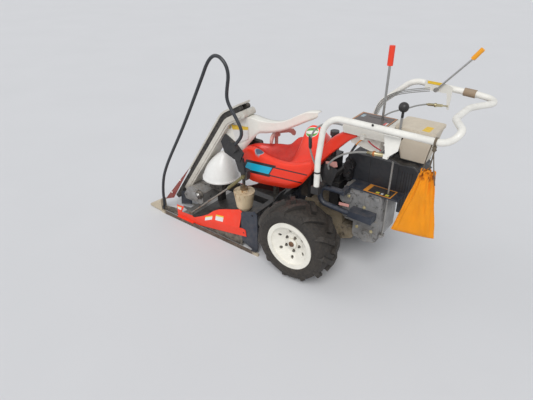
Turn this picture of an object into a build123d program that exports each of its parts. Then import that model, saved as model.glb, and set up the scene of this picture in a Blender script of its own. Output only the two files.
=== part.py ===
"""One-row walk-behind reaper binder, in millimetres.

Working frame: X forward from the axle, Y left from the middle plane, Z up from the floor.
Each piece is moved at the end so that the origin lies under the middle of the machine's length.
Pairs named LEFT and RIGHT are the same piece mirrored across the middle plane.
"""
from build123d import *
import os
from math import cos, pi, radians, sin, tan

LEFT, RIGHT = 1, -1
SHEET = 3.0              # sheet metal
RUN_GAP = 0.3            # clearance of turning parts
FIT_GAP = 0.2            # clearance of sleeves and bands

# Wheels
TYRE_R = 203.0           # over the lugs
LUG_H = 20.0
LUG_W = 22.0
LUG_ANGLE = 40.0         # from straight across the tread
LUGS_PER_SIDE = 11
TYRE_W = 160.0
TYRE_WALL = 12.0
FLANGE_R = 119.0         # rim flange of an 8 inch rim
BEAD_R = 101.6
RIM_W = 152.0
RIM_WALL = 4.0
DISH_DEPTH = 34.0        # wheel disc behind the outer flange
VENTS = 6                # holes through the wheel disc
VENT_R = 8.0
VENT_RING_R = 70.0
HALF_TRACK = 233.0       # middle plane to tyre middle
SHAFT_R = 12.5
HUB_R = 36.0
CAP_R = 12.0

# Transmission
CASE_HALF_W = 62.0
CASE_TOP_RISE = 118.0    # above the axle
CASE_FRONT_X = 84.0
AXLE_TUBE_R = 27.0
AXLE_TUBE_END = 128.0

# Engine
ENGINE_X0, ENGINE_X1 = -318.0, -135.0
ENGINE_Y0, ENGINE_Y1 = -110.0, 75.0
ENGINE_Z0, ENGINE_Z1 = 216.0, 466.0
SUMP_X1 = -196.0
SUMP_H = 86.0
DECK_T = 6.0
DECK_X0, DECK_X1 = -386.0, -162.0
COWL_X0, COWL_X1 = -425.0, -95.0
COWL_Y0, COWL_Y1 = -150.0, 4.0
COWL_TOP = 596.0
COWL_FOOT = 372.0
RECOIL_SLOTS = 12
MUFFLER_DEPTH = 44.0
MUFFLER_SLOTS = 8
SHIFT_X, SHIFT_Y = -330.0, 48.0
SHIFT_R = 4.5

# Handle
TUBE_R = 12.7
TUBE_WALL = 2.0
HANDLE_Y = 215.0         # middle plane to each side of the handle
HANDLE_FOOT_Z = 500.0
HANDLE_FOOT_X = -73.0
SIDE_Z = 818.0           # height of the left side
MOUNT_R = 14.0
CABLE_PLATE = (-88.0, 583.0)   # ear for the cables, X and top
CABLE_PLATE_Y = 151.0
CABLE_R = 4.0

# Panel, levers and twine bin
PANEL_X0, PANEL_X1 = -338.0, -138.0
PANEL_Y0, PANEL_Y1 = -2.0, 150.0
PANEL_TOP = 786.0
PANEL_BOTTOM = 742.0
BIN_X, BIN_Y = -412.0, 38.0
BIN_L, BIN_W = 148.0, 126.0
BIN_Z0, BIN_Z1 = 662.0, 788.0
BIN_TAPER = 24.0         # each side narrower at the foot
BIN_WALL = 3.0
LID_T = 10.0
LID_LIP = 4.0
KNOB_X, KNOB_Y = -364.0, 124.0

# Runners and side guards
RUNNER_Y = 243.0
RUNNER_W = 12.0
RUNNER_H = 14.0
RUNNER_X0, RUNNER_X1 = 228.0, 955.0
NOSE_L = 111.0
TIP_X = RUNNER_X1 + NOSE_L
NOSE_H = 90.0
NOSE_W = 42.0
GUARD_GAP = 5.0          # side guard sheet to runner
FOLD_X, FOLD_Z = 699.0, 52.0
FOLD_SLOPE = 0.194
LEAF_LEAN = 18.0         # leaf from upright
BAND_HOLE_R = 5.0
BAND_HOLE_X, BAND_HOLE_Z = 332.0, 97.0
TABLE_T = 3.0
END_PLATE_T = 5.0
LASHING_R = 6.0          # tie-down hole in each end plate
LASHING_X, LASHING_Z = 274.0, 222.0
ROD_R = 7.5
ROD_Y = 226.0
POST_Y1 = ROD_Y - ROD_R - 5
POST_Y0 = POST_Y1 - 14

# Frame
SPINE_Y0, SPINE_Y1 = -34.0, 6.0
SPINE_Z0, SPINE_Z1 = 148.0, 188.0
BED_X0, BED_X1 = 722.0, 790.0
BED_Z0, BED_Z1 = 36.0, 52.0
CROSS_X0, CROSS_X1 = 296.0, 326.0
CROSS_Z0, CROSS_Z1 = 168.0, 198.0
ROTOR_X = (CROSS_X0 + CROSS_X1) / 2

# Pickup case, leaning back
CASE_LEAN = 55.0         # from level
CASE_TOP_LEAN = 29.0
CASE_Y0, CASE_Y1 = 25.0, 115.0
CASE_FOOT = (853.0, 119.0)
CASE_LEN = 622.0         # foot to bend
CASE_TOP_LEN = 132.0
CASE_DEPTH = 71.0
CASE_BEND_R = 150.0      # front face at the bend
CASE_STEP = 10.0         # rear box beyond the front skin's tip
CASE_TIP_R = 14.0
CORE_SHORT = 36.0        # core short of the skin's tip
SKIN_T = 9.0
SKIN_START = 143.0
SLOT_T = 27.0
BELT_SIDE = 24.0
BELT_INSET = 6.0
BELT_DROP = 128.0        # belt below the case's foot
TINE_R = 5.0
TINE_REACH = 92.0
TINE_PITCH = 105.0
TINES = 6

# Knotter, packer and discharge
BONNET_Y = 85.0
KNOTTER_Y1 = 68.0
ROTOR_Y, ROTOR_Z = -25.0, 580.0
ROTOR_REACH = 100.0
ROTOR_ARMS = 3
ROTOR_PHASE = 110.0
ARM_T = 12.0
ROTOR_SHAFT_R = 9.0
DOME_X, DOME_Y, DOME_Z = 612.0, 77.0, 276.0
DOME_R = 103.0

# Hood
HOOD_Y = 145.0
HOOD_WALL = 4.0
TANK_X0, TANK_X1 = -50.0, 90.0
TANK_Z0, TANK_Z1 = 452.0, 556.0


def box(x0, x1, y0, y1, z0, z1):
    """Block between two corners."""
    centre = Pos((x0 + x1) / 2, (y0 + y1) / 2, (z0 + z1) / 2)
    return centre * Box(abs(x1 - x0), abs(y1 - y0), abs(z1 - z0))


def side_plate(points, y0, y1):
    """Outline in X and Z, standing between y0 and y1."""
    face = make_face(Polyline(*points, close=True))
    return extrude(Plane.XZ.offset(-y1) * face, amount=y1 - y0)


def rounded_plate(points, radii, y0, y1):
    """Outline in X and Z with a radius at each corner, standing between y0 and y1."""
    face = make_face(FilletPolyline(*points, radius=radii, close=True))
    return extrude(Plane.XZ.offset(-y1) * face, amount=y1 - y0)


def level_plate(points, z0, z1):
    """Outline in X and Y, lying between z0 and z1."""
    face = make_face(Polyline(*points, close=True))
    return extrude(Plane.XY.offset(z0) * face, amount=z1 - z0)


def cross_plane(x):
    """Plane across the machine at x, with its own axes along Y and Z."""
    return Plane(origin=(x, 0, 0), x_dir=(0, 1, 0), z_dir=(1, 0, 0))


def bar(start, end, radius):
    """Round bar between two points."""
    start, end = Vector(*start), Vector(*end)
    run = end - start
    plane = Plane(origin=start, z_dir=run.normalized())
    return extrude(plane * Circle(radius), amount=run.length)


def tube(points, radii, outer, inner=0.0):
    """Round tube along straight runs joined by arcs."""
    path = FilletPolyline(*points, radius=radii)
    section = Circle(outer)
    if inner:
        section -= Circle(inner)
    return sweep((path ^ 0) * section, path=path)


def ring(profile):
    """Closed outline of (across, radius) pairs, turned about the Y axis."""
    face = make_face(Polyline(*[(r, y) for y, r in profile], close=True))
    return revolve(face, Axis.Y)


def sided(piece, side):
    """The piece itself on the left, or its mirror image on the right."""
    return piece if side == LEFT else mirror(piece, Plane.XZ)


def lug():
    """One bar of the tread at the top of the tyre, from the middle to the left shoulder."""
    top, root = TYRE_R - 3.0, TYRE_R - LUG_H - 14.0
    shoulder = TYRE_R - 3 * LUG_H
    lean = radians(LUG_ANGLE)
    reach = (TYRE_W / 2 - LUG_W / 2 * sin(lean)) / cos(lean)
    outline = [(-4, root), (-4, top), (0.45 * reach, top), (0.78 * reach, top - 8), (reach - 3, top - 22),
               (reach, shoulder), (0.7 * reach, shoulder)]
    face = make_face(Polyline(*outline, close=True))
    blank = extrude(Plane.YZ.offset(-LUG_W / 2) * face, amount=LUG_W)
    slide = -reach / 2.3 * sin(lean)
    return Pos(slide, 0, 0) * Rot(0, 0, -LUG_ANGLE) * blank


def tyre_blank():
    """Tyre about the Y axis: hollow carcass with two staggered rows of lugs."""
    half, crown = TYRE_W / 2, TYRE_R - LUG_H
    bead = RIM_W / 2 - RIM_WALL
    outer = [(bead, BEAD_R + FIT_GAP), (bead, FLANGE_R + 1), (half - 3, FLANGE_R + 10), (half, 152),
             (half - 8, crown - 9), (half - 42, crown)]
    inner = [(bead - 9, BEAD_R - 1), (half - 14, FLANGE_R + 12), (half - TYRE_WALL, 150),
             (half - 20, crown - 20), (half - 46, crown - TYRE_WALL)]
    body = ring(outer + [(-y, r) for y, r in reversed(outer)])
    body -= ring(inner + [(-y, r) for y, r in reversed(inner)])
    pitch = 360 / LUGS_PER_SIDE
    left_lug = lug()
    right_lug = mirror(left_lug, Plane.XZ)
    for i in range(LUGS_PER_SIDE):
        body += Rot(0, i * pitch, 0) * left_lug
        body += Rot(0, (i + 0.5) * pitch, 0) * right_lug
    return body


TYRE = tyre_blank()
AXLE_Z = -TYRE.bounding_box().min.Z


def rim_blank():
    """Wheel rim about the Y axis, its dished disc towards +Y."""
    half = RIM_W / 2
    seat = half - RIM_WALL
    barrel = [(half, BEAD_R - RIM_WALL), (half, FLANGE_R), (seat, FLANGE_R), (seat, BEAD_R),
              (-seat, BEAD_R), (-seat, FLANGE_R), (-half, FLANGE_R), (-half, BEAD_R - RIM_WALL)]
    face_y = half - DISH_DEPTH
    dish = [(half - 4, BEAD_R - 1), (half - 8, BEAD_R - 1), (face_y - RIM_WALL, 52),
            (face_y - RIM_WALL, CAP_R), (face_y, CAP_R), (face_y, 50)]
    rim = ring(barrel) + ring(dish)
    for i in range(VENTS):
        rim -= Rot(0, -84 + i * 360 / VENTS, 0) * bar((VENT_RING_R, 0, 0), (VENT_RING_R, half, 0), VENT_R)
    return rim


def hub_blank():
    """Drive shaft with its hub flange and hub cap, its outer end towards +Y."""
    face_y = RIM_W / 2 - DISH_DEPTH
    back_y = face_y - RIM_WALL
    inner_y = CASE_HALF_W - HALF_TRACK - 2
    steps = [(back_y - 8, HUB_R), (back_y, HUB_R), (back_y, CAP_R), (face_y + 9, CAP_R), (face_y + 12, CAP_R - 4),
             (face_y + 12, 0), (inner_y, 0), (inner_y, SHAFT_R), (back_y - 34, SHAFT_R), (back_y - 30, 21),
             (back_y - 8, 21)]
    return ring(steps)


def on_axle(piece, side):
    """A wheel piece set on its side of the axle."""
    return Pos(0, side * HALF_TRACK, AXLE_Z) * sided(piece, side)


def transmission_case():
    """Cast case on the axle, with an axle tube to each side and bores for the shafts."""
    top = AXLE_Z + CASE_TOP_RISE
    outline = [(CASE_FRONT_X - 10, AXLE_Z - 62), (CASE_FRONT_X, AXLE_Z - 52), (CASE_FRONT_X, AXLE_Z + 40),
               (CASE_FRONT_X - 12, top), (ENGINE_X1, top), (ENGINE_X1, AXLE_Z + 44), (-190, AXLE_Z + 44),
               (-190, AXLE_Z - 12), (-60, AXLE_Z - 72), (30, AXLE_Z - 78)]
    case = side_plate(outline, -CASE_HALF_W, CASE_HALF_W)
    tubes = bar((0, -AXLE_TUBE_END, AXLE_Z), (0, AXLE_TUBE_END, AXLE_Z), AXLE_TUBE_R)
    flanges = bar((0, -CASE_HALF_W - 12, AXLE_Z), (0, CASE_HALF_W + 12, AXLE_Z), 2 * AXLE_TUBE_R)
    bore = bar((0, -AXLE_TUBE_END - 9, AXLE_Z), (0, AXLE_TUBE_END + 9, AXLE_Z), SHAFT_R + RUN_GAP)
    return case + tubes + flanges - bore


def body_frame():
    """Steel pedestal on the transmission, with the tank's shelf and its front leg."""
    top = AXLE_Z + CASE_TOP_RISE
    shelf_z = TANK_Z0 - 6
    pedestal = box(HANDLE_FOOT_X - 24, TANK_X0, -50, 50, top, shelf_z)
    shelf = box(TANK_X0 - 10, TANK_X1, -50, 50, shelf_z, TANK_Z0)
    leg = box(52, 68, -50, 50, top, shelf_z)
    strip = box(52, 84, -126, HOOD_Y - HOOD_WALL, shelf_z, TANK_Z0)
    return pedestal + shelf + leg + strip


def handle_mount():
    """Cross tube with a block at each end for the handle's feet."""
    z = HANDLE_FOOT_Z - MOUNT_R
    cross = bar((HANDLE_FOOT_X, -HANDLE_Y, z), (HANDLE_FOOT_X, HANDLE_Y, z), MOUNT_R)
    piece = cross
    for side in (LEFT, RIGHT):
        y = side * HANDLE_Y
        piece += box(HANDLE_FOOT_X - 18, HANDLE_FOOT_X + 18, y - 15, y + 15, HANDLE_FOOT_Z - 34, HANDLE_FOOT_Z)
    saddle = box(HANDLE_FOOT_X - 18, TANK_X0 - 10, -40, 40, TANK_Z0 - 6, z)
    x, top = CABLE_PLATE
    ear = rounded_plate([(x - 22, z), (x + 22, z), (x + 16, top), (x - 46, top - 14)], [0, 0, 8, 8],
                        CABLE_PLATE_Y - SHEET, CABLE_PLATE_Y)
    return piece + saddle + ear


BOSSES = [  # x, z, radius, height of each round boss on the crankcase's left face
    (-152, 410, 30, 10), (-152, 410, 20, 16), (-298, 316, 18, 12), (-257, 408, 8, 8), (-176, 446, 8, 8),
    (-300, 446, 8, 8), (-208, 334, 8, 8), (-262, 244, 33, 4), (-262, 244, 28, 10), (-262, 244, 17, 14),
    (-222, 284, 8, 6), (-302, 262, 8, 6)]
CRANKCASE_ROUND = 24.0
FINS = 7
FIN_T = 4.0


def engine_block():
    """Engine as one block: ribbed crankcase, sump, finned cylinder inside the cowl, end cover and bosses."""
    seam = ENGINE_Z0 + SUMP_H
    r = CRANKCASE_ROUND
    outline = [(ENGINE_X0, seam), (ENGINE_X1, seam), (ENGINE_X1, ENGINE_Z1), (ENGINE_X0, ENGINE_Z1)]
    body = rounded_plate(outline, [0, r, r / 2, r], ENGINE_Y0, ENGINE_Y1)
    low = AXLE_Z + CASE_TOP_RISE + 2
    flange = rounded_plate([(ENGINE_X0 - 5, low), (ENGINE_X1 + 5, low), (ENGINE_X1 + 5, ENGINE_Z1),
                            (ENGINE_X0 - 5, ENGINE_Z1)], [0, 0, r / 2, r], ENGINE_Y1 - 44, ENGINE_Y1 - 34)
    sump = rounded_plate([(ENGINE_X0, ENGINE_Z0), (SUMP_X1, ENGINE_Z0), (SUMP_X1, seam), (ENGINE_X0, seam)],
                         [r, r, 0, 0], ENGINE_Y0, ENGINE_Y1)
    cylinder = box(ENGINE_X0 + 36, ENGINE_X1 - 26, ENGINE_Y0 + 6, COWL_Y1 - 26, ENGINE_Z1, COWL_TOP - 40)
    block = body + flange + sump + cylinder
    pitch = (COWL_TOP - 46 - ENGINE_Z1) / FINS
    for i in range(FINS):
        z = ENGINE_Z1 + (i + 0.7) * pitch
        block += box(ENGINE_X0 + 30, ENGINE_X1 - 20, ENGINE_Y0, COWL_Y1 - 20, z, z + FIN_T)
    for x in (ENGINE_X0 + 50, ENGINE_X0 + 78, ENGINE_X0 + 106):
        block += box(x, x + FIN_T, ENGINE_Y1, ENGINE_Y1 + 4, ENGINE_Z1 - 84, ENGINE_Z1 - 26)
    block += box(ENGINE_X0 + 14, ENGINE_X1 - 20, ENGINE_Y1, ENGINE_Y1 + 6, seam - 2, seam + 8)
    for x, z, radius, height in BOSSES:
        block += bar((x, ENGINE_Y1 - 4, z), (x, ENGINE_Y1 + height, z), radius)
    return block


def cowl_outline(inset):
    """Side outline of the engine's cowl, pulled in by inset."""
    x0, x1, top = COWL_X0 + inset, COWL_X1 - inset, COWL_TOP - inset
    rear = DECK_X0 + 26 - inset
    low = ENGINE_Z1 + DECK_T
    return [(x0, COWL_FOOT), (x0, top - 18), (x0 + 20, top), (x1 - 30, top), (x1, top - 40), (x1, low),
            (rear, low), (rear, COWL_FOOT)]


def engine_cowl():
    """Black sheet cooling cowl over the cylinder, with a deeper rear column, open below."""
    shell = side_plate(cowl_outline(0), COWL_Y0, COWL_Y1)
    hollow = side_plate(cowl_outline(SHEET), COWL_Y0 + SHEET, COWL_Y1 - SHEET)
    mouth = box(DECK_X0 + 30, COWL_X1 - SHEET, COWL_Y0 + SHEET, COWL_Y1 - SHEET, ENGINE_Z1, ENGINE_Z1 + 30)
    return shell - hollow - mouth


def deck_plate():
    """Black level plate on the crankcase beside the cowl, with a hole for the shift rod."""
    plate = box(DECK_X0, DECK_X1, COWL_Y1, ENGINE_Y1 + 9, ENGINE_Z1, ENGINE_Z1 + DECK_T)
    under_cowl = box(DECK_X0 + 26, COWL_X1, COWL_Y0, COWL_Y1, ENGINE_Z1, ENGINE_Z1 + DECK_T)
    opening = box(ENGINE_X0 + 20, ENGINE_X1 - 10, ENGINE_Y0 - 6, COWL_Y1 - 12, ENGINE_Z1 - 1, ENGINE_Z1 + 2 * DECK_T)
    hole = bar((SHIFT_X, SHIFT_Y, ENGINE_Z1 - 1), (SHIFT_X, SHIFT_Y, ENGINE_Z1 + 2 * DECK_T), SHIFT_R + 4)
    return plate + under_cowl - opening - hole


def air_cleaner():
    """Round black air cleaner at the cowl's front corner, with the carburettor and its bowl below it."""
    x, y, z = COWL_X1 - 30, COWL_Y1, 538
    drum = bar((x, y, z), (x, y + 26, z), 24) + bar((x, y + 26, z), (x, y + 32, z), 16)
    throat = box(x - 18, x + 18, y, y + 34, z - 56, z - 16)
    bowl = bar((x, y + 19, ENGINE_Z1 + 2), (x, y + 19, z - 56), 14)
    inlet = bar((x - 10, y + 34, z - 36), (x - 10, y + 52, z - 36), 9)
    return drum + throat + bowl + inlet


def recoil_starter():
    """Black recoil starter on the cowl's rear column, with slots round its drum and a pull grip."""
    x, y, z = COWL_X0, (COWL_Y0 + COWL_Y1) / 2, COWL_FOOT + 74
    drum = bar((x, y, z), (x - 20, y, z), 64) + bar((x - 20, y, z), (x - 27, y, z), 46)
    for i in range(RECOIL_SLOTS):
        slot = Pos(x - 18, y, z) * Rot(i * 360 / RECOIL_SLOTS, 0, 0) * Pos(0, 0, 55) * Box(8, 12, 10)
        drum -= slot
    grip = bar((x - 15, y + 44, z + 62), (x - 15, y + 84, z + 62), 7)
    stem = bar((x - 15, y + 34, z + 48), (x - 15, y + 58, z + 60), 4)
    return drum + grip + stem


def muffler():
    """Exhaust box on the cowl's right side, its guard cut with slots, and its outlet."""
    x0, x1, z0, z1 = COWL_X1 - 150, COWL_X1 - 30, ENGINE_Z1 + 22, COWL_TOP - 26
    y1 = COWL_Y0
    y0 = y1 - MUFFLER_DEPTH
    can = rounded_plate([(x0, z0), (x1, z0), (x1, z1), (x0, z1)], [14, 14, 14, 14], y0, y1)
    for i in range(MUFFLER_SLOTS):
        x = x0 + 18 + i * (x1 - x0 - 36) / (MUFFLER_SLOTS - 1)
        can -= box(x - 3, x + 3, y0 - 1, y0 + 4, z0 + 14, z1 - 14)
    return can + bar((x0 + 2, y1 - 20, z0 + 16), (x0 - 22, y1 - 24, z0 + 4), 9)


def engine_cradle():
    """Blue-black bent tube and its plate, bolted to the crankcase's left side."""
    y = ENGINE_Y1 + 49
    rear_x = ENGINE_X1 - 20
    loop = tube([(rear_x, y, 456), (-38, y, 452), (-46, y, 370), (-192, y, 362)], [38, 38], 12.5, 10)
    plate = side_plate([(-190, 346), (-190, 376), (-302, 376), (-302, 342)], ENGINE_Y1, y + 6)
    foot = box(rear_x - 12, rear_x + 8, ENGINE_Y1, y + 10, 444, ENGINE_Z1)
    return loop - plate - foot + plate + foot


def belt_cover():
    """Black cover of the drive belt on the engine's right side."""
    outline = [(-214, 300), (-250, 340), (-250, 420), (-214, 452), (30, 452), (66, 420), (66, 340), (30, 300)]
    return side_plate(outline, ENGINE_Y0 - 36, ENGINE_Y0)


def shift_rod():
    """Grey rod from the panel down through the deck to its crank behind the engine."""
    rod = bar((SHIFT_X, SHIFT_Y, 258), (SHIFT_X, SHIFT_Y, PANEL_BOTTOM), SHIFT_R)
    crank = box(SHIFT_X - 8, ENGINE_X0, SHIFT_Y - 8, SHIFT_Y + 8, 250, 266)
    nut = bar((SHIFT_X + 2, SHIFT_Y + 8, 258), (SHIFT_X + 2, SHIFT_Y + 16, 258), 8)
    return rod + crank + nut


def fuel_tank():
    """Black tank under the hood's rear, with its filler neck and cap."""
    tank = box(TANK_X0, TANK_X1, -60, 60, TANK_Z0, TANK_Z1)
    neck = bar((TANK_X0 + 22, 0, TANK_Z1), (TANK_X0 + 22, 0, 652), 14)
    cap = bar((TANK_X0 + 22, 0, 652), (TANK_X0 + 22, 0, 672), 20)
    return tank + neck + cap


HANDLE_ROUTE = [  # x, y, z, bend radius
    (HANDLE_FOOT_X, HANDLE_Y, HANDLE_FOOT_Z, 0),
    (HANDLE_FOOT_X, HANDLE_Y, 620, 200),
    (-94, HANDLE_Y, SIDE_Z, 84),
    (-556, HANDLE_Y, SIDE_Z, 70),
    (-610, HANDLE_Y, 866, 32),
    (-542, 90, 866, 56),
    (-548, -60, 866, 120),
    (-630, -HANDLE_Y, 862, 38),
    (-540, -HANDLE_Y, 874, 60),
    (-272, -HANDLE_Y, 890, 90),
    (-140, -HANDLE_Y, 770, 90),
    (HANDLE_FOOT_X, -HANDLE_Y, 590, 200),
    (HANDLE_FOOT_X, -HANDLE_Y, HANDLE_FOOT_Z, 0),
]
GRIP_FROM, GRIP_TO = HANDLE_ROUTE[8], HANDLE_ROUTE[9]


def right_side(x):
    """Point of the handle's right side run at x."""
    share = (x - GRIP_FROM[0]) / (GRIP_TO[0] - GRIP_FROM[0])
    return x, -HANDLE_Y, GRIP_FROM[2] + share * (GRIP_TO[2] - GRIP_FROM[2])


def handle_loop():
    """White handle tube: up from the left foot, back, across the rear and forward to the right foot."""
    points = [row[:3] for row in HANDLE_ROUTE]
    radii = [row[3] for row in HANDLE_ROUTE[1:-1]]
    return tube(points, radii, TUBE_R, TUBE_R - TUBE_WALL)


def handle_gusset():
    """White gusset plate hanging under the handle's left side, with its strap to the panel."""
    y1 = HANDLE_Y - 12
    z = SIDE_Z - TUBE_R
    plate = side_plate([(-334, z), (-402, z), (-396, 744), (-352, 702)], y1 - SHEET, y1)
    strap = box(-402, -334, y1 - SHEET, HANDLE_Y + 6, z - SHEET, z)
    stay = box(-352, PANEL_X0, PANEL_Y1 - 20, y1 - SHEET, 752, 752 + SHEET)
    x, y, z = CLUTCH_ROUTE[0]
    stop = box(x - 18, x - RUN_GAP, y - 8, y1, z - 8, z + 8)
    return plate + strap + stay + stop


CLUTCH_ROUTE = [(-342, 193, 709), (-287, 193, 706), (-230, 193, 694), (-174, 192, 669), (-128, 187, 632),
                (-98, 174, 590), (-94, CABLE_PLATE_Y + 3.3, 564)]
THROTTLE_ROUTE = [(PANEL_X1 + 1.2, 138, 766), (-108, 146, 770), (-66, 164, 766), (-28, 171, 738), (-8, 172, 698),
                  (-4, 171, 652), (-14, 168, 610), (-34, 166, 570), (-56, 166, 534), (-68, 166, HANDLE_FOOT_Z)]


def cable_radii(route):
    """Bend radius at each inner point: 0.45 of its shorter run, over the tangent of half its turn."""
    radii = []
    for a, b, c in zip(route, route[1:], route[2:]):
        before, after = Vector(*b) - Vector(*a), Vector(*c) - Vector(*b)
        half_turn = radians(before.get_angle(after)) / 2
        radii.append(0.45 * min(before.length, after.length) / tan(half_turn))
    return radii


def cable(route):
    """Cable whose two ends are held, along its route."""
    return tube(route, cable_radii(route), CABLE_R)


def grip():
    """Taped grip sleeve on the right side of the handle."""
    sleeve = bar(right_side(-482), right_side(-528), TUBE_R + 3.5)
    return sleeve - bar(right_side(-470), right_side(-539), TUBE_R + FIT_GAP)


def control_panel():
    """White switch housing beside the handle's left side, over a deeper lower box."""
    top = side_plate([(PANEL_X1, PANEL_TOP - 18), (PANEL_X1 - 12, PANEL_TOP), (PANEL_X0 + 6, PANEL_TOP),
                      (PANEL_X0, PANEL_TOP - 18), (PANEL_X0, PANEL_BOTTOM), (PANEL_X1 - 8, PANEL_BOTTOM)],
                     PANEL_Y0, PANEL_Y1)
    lower = side_plate([(-150, PANEL_BOTTOM), (-300, PANEL_BOTTOM), (-296, 676), (-176, 700)],
                       PANEL_Y0 + 70, PANEL_Y1 - 18)
    return top + lower


def panel_plate():
    """Dark face plate on the panel."""
    return box(-308, -156, PANEL_Y0 + 6, 124, PANEL_TOP, PANEL_TOP + 2)


def twine_bin():
    """Open-topped cream bin for the twine ball, narrower below."""
    place = Pos(BIN_X, BIN_Y)

    def section(z, inset, radius):
        return Plane.XY.offset(z) * place * RectangleRounded(BIN_L - 2 * inset, BIN_W - 2 * inset, radius)

    outer = loft([section(BIN_Z0, BIN_TAPER, 10), section(BIN_Z1, 0, 12)])
    inner = loft([section(BIN_Z0 + BIN_WALL, BIN_TAPER + BIN_WALL, 8), section(BIN_Z1 + 1, BIN_WALL, 10)])
    return outer - inner


def twine_bin_lid():
    """Lid over the bin with a hinge roll along its right edge."""
    z = BIN_Z1 + RUN_GAP
    plate = Plane.XY.offset(z) * Pos(BIN_X, BIN_Y) * RectangleRounded(BIN_L + 2 * LID_LIP, BIN_W + 2 * LID_LIP, 14)
    roll_y = BIN_Y - BIN_W / 2 - LID_LIP
    roll = bar((BIN_X - 50, roll_y, z + LID_T / 2), (BIN_X + 50, roll_y, z + LID_T / 2), LID_T / 2)
    return extrude(plate, amount=LID_T) + roll


def bin_tray():
    """Black strap shelf under the bin, hung from the panel's rear face."""
    shelf = box(BIN_X - 50, PANEL_X0 - SHEET, 0, 78, BIN_Z0 - 4, BIN_Z0)
    upright = box(PANEL_X0 - SHEET, PANEL_X0, 0, 78, BIN_Z0 - 4, PANEL_TOP - 20)
    return shelf + upright


def main_lever():
    """Tall lever with a red grip."""
    rod = bar((-258, 41, PANEL_TOP + 2), (-258, 41, 1000), 5)
    return rod + bar((-258, 41, 1000), (-258, 41, 1072), 11)


def speed_lever():
    """Leaning lever with a yellow grip and its bracket on the right side of the handle."""
    y = -HANDLE_Y + TUBE_R
    lever_y = y + 12
    rod = bar((-377, lever_y, 872), (-492, lever_y, 1012), 4)
    knob = bar((-492, lever_y, 1012), (-520, lever_y, 1052), 9)
    plate = side_plate([(-326, 864), (-326, 904), (-398, 902), (-440, 890), (-440, 796), (-432, 796), (-420, 862)],
                       y, y + SHEET)
    pivot = bar((-377, y, 872), (-377, lever_y + 6, 872), 9)
    return rod + knob + plate + pivot


def knob_lever():
    """Short lever with a ball knob beside the twine bin, on its own small bracket."""
    bracket = box(KNOB_X - 14, PANEL_X0, KNOB_Y - 10, PANEL_Y1, 758, 762)
    stem = bar((KNOB_X, KNOB_Y, 762), (KNOB_X - 1, KNOB_Y, 868), 5)
    return bracket + stem + Pos(KNOB_X - 1, KNOB_Y, 882) * Sphere(19)


def case_point(along, depth):
    """Point of the leaning case in X and Z: along it from the foot, and in from its front face."""
    lean = radians(CASE_LEAN)
    back = CASE_DEPTH - depth
    return (CASE_FOOT[0] - cos(lean) * along + sin(lean) * back, CASE_FOOT[1] + sin(lean) * along + cos(lean) * back)


def case_outline(near, far, start=0.0, cut=0.0):
    """Side outline of the case between two depths behind its front face, from start to its bent top."""
    top = radians(CASE_TOP_LEAN)
    turn = tan(radians(CASE_LEAN - CASE_TOP_LEAN) / 2)

    def top_point(depth):
        x, z = case_point(CASE_LEN - depth * turn, depth)
        reach = CASE_TOP_LEN - depth * turn - cut
        return x - cos(top) * reach, z + sin(top) * reach

    return [case_point(start, near), case_point(CASE_LEN - near * turn, near), top_point(near), top_point(far),
            case_point(CASE_LEN - far * turn, far), case_point(start, far)]


def case_layer(near, far, start, y0, y1, tip_round=0.0, cut=0.0):
    """A layer of the case between two depths, its bend and its tip rounded, its top end cut short."""
    points = case_outline(near, far, start, cut)
    radii = [0, CASE_BEND_R - near, tip_round, tip_round, CASE_BEND_R - far, 0]
    return rounded_plate(points, radii, y0, y1)


def pickup_case():
    """Leaning white case: a front skin and a rear box, joined by a core with a belt slot on each side."""
    slot_end = SKIN_T + SLOT_T
    front = case_layer(0, SKIN_T, SKIN_START, CASE_Y0, CASE_Y1, SKIN_T / 3)
    rear = case_layer(slot_end, CASE_DEPTH, 0, CASE_Y0, CASE_Y1, CASE_TIP_R, -CASE_STEP)
    inset = BELT_INSET + BELT_SIDE
    core = case_layer(SKIN_T, slot_end, SKIN_START, CASE_Y0 + inset, CASE_Y1 - inset, 0, CORE_SHORT)
    ridge = case_layer(slot_end + 12, CASE_DEPTH - 9, 30, CASE_Y1, CASE_Y1 + 4, 6, 16)
    return front + rear + core + ridge


def lug_belt():
    """Black belt running round the case's core, with tines out to the crop side."""
    near, far = SKIN_T + 1, SKIN_T + SLOT_T - 1
    inset = BELT_INSET + BELT_SIDE
    tip = (SLOT_T - 2) / 2.2
    belt = case_layer(near, far, -BELT_DROP, CASE_Y1 - inset, CASE_Y1 - BELT_INSET, tip, 4)
    belt += case_layer(near, far, -BELT_DROP, CASE_Y0 + BELT_INSET, CASE_Y0 + inset, tip, 4)
    foot = [case_point(-BELT_DROP, near), case_point(-20, near), case_point(-20, far), case_point(-BELT_DROP, far)]
    belt += side_plate(foot, CASE_Y0 + BELT_INSET, CASE_Y1 - BELT_INSET)
    for i in range(TINES):
        x, z = case_point(i * TINE_PITCH - 60, SKIN_T + SLOT_T / 2)
        belt += bar((x, CASE_Y0 + BELT_INSET + 4, z), (x, CASE_Y0 - TINE_REACH, z), TINE_R)
    return belt


def pickup_drive():
    """Aluminium gear housing behind the foot of the pickup case."""
    outline = [case_point(0, CASE_DEPTH), case_point(66, CASE_DEPTH), (778, 186), (726, 186), (700, 164), (700, 110),
               (720, 92), (840, 92)]
    body = side_plate(outline, 40, 150)
    boss = bar((752, 150, 142), (752, 162, 142), 26)
    arm = box(700, 740, SPINE_Y1, 40, 104, SPINE_Z0)
    return body + boss + arm


def packer_case():
    """Black casting that carries the white dome cover on the spine."""
    post = level_plate([(560, SPINE_Y1), (690, SPINE_Y1), (676, 110), (580, 110)], SPINE_Z1 + 12, DOME_Z)
    foot = box(570, 680, SPINE_Y0 + 4, SPINE_Y1 + 34, SPINE_Z1, SPINE_Z1 + 12)
    return post + foot


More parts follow.
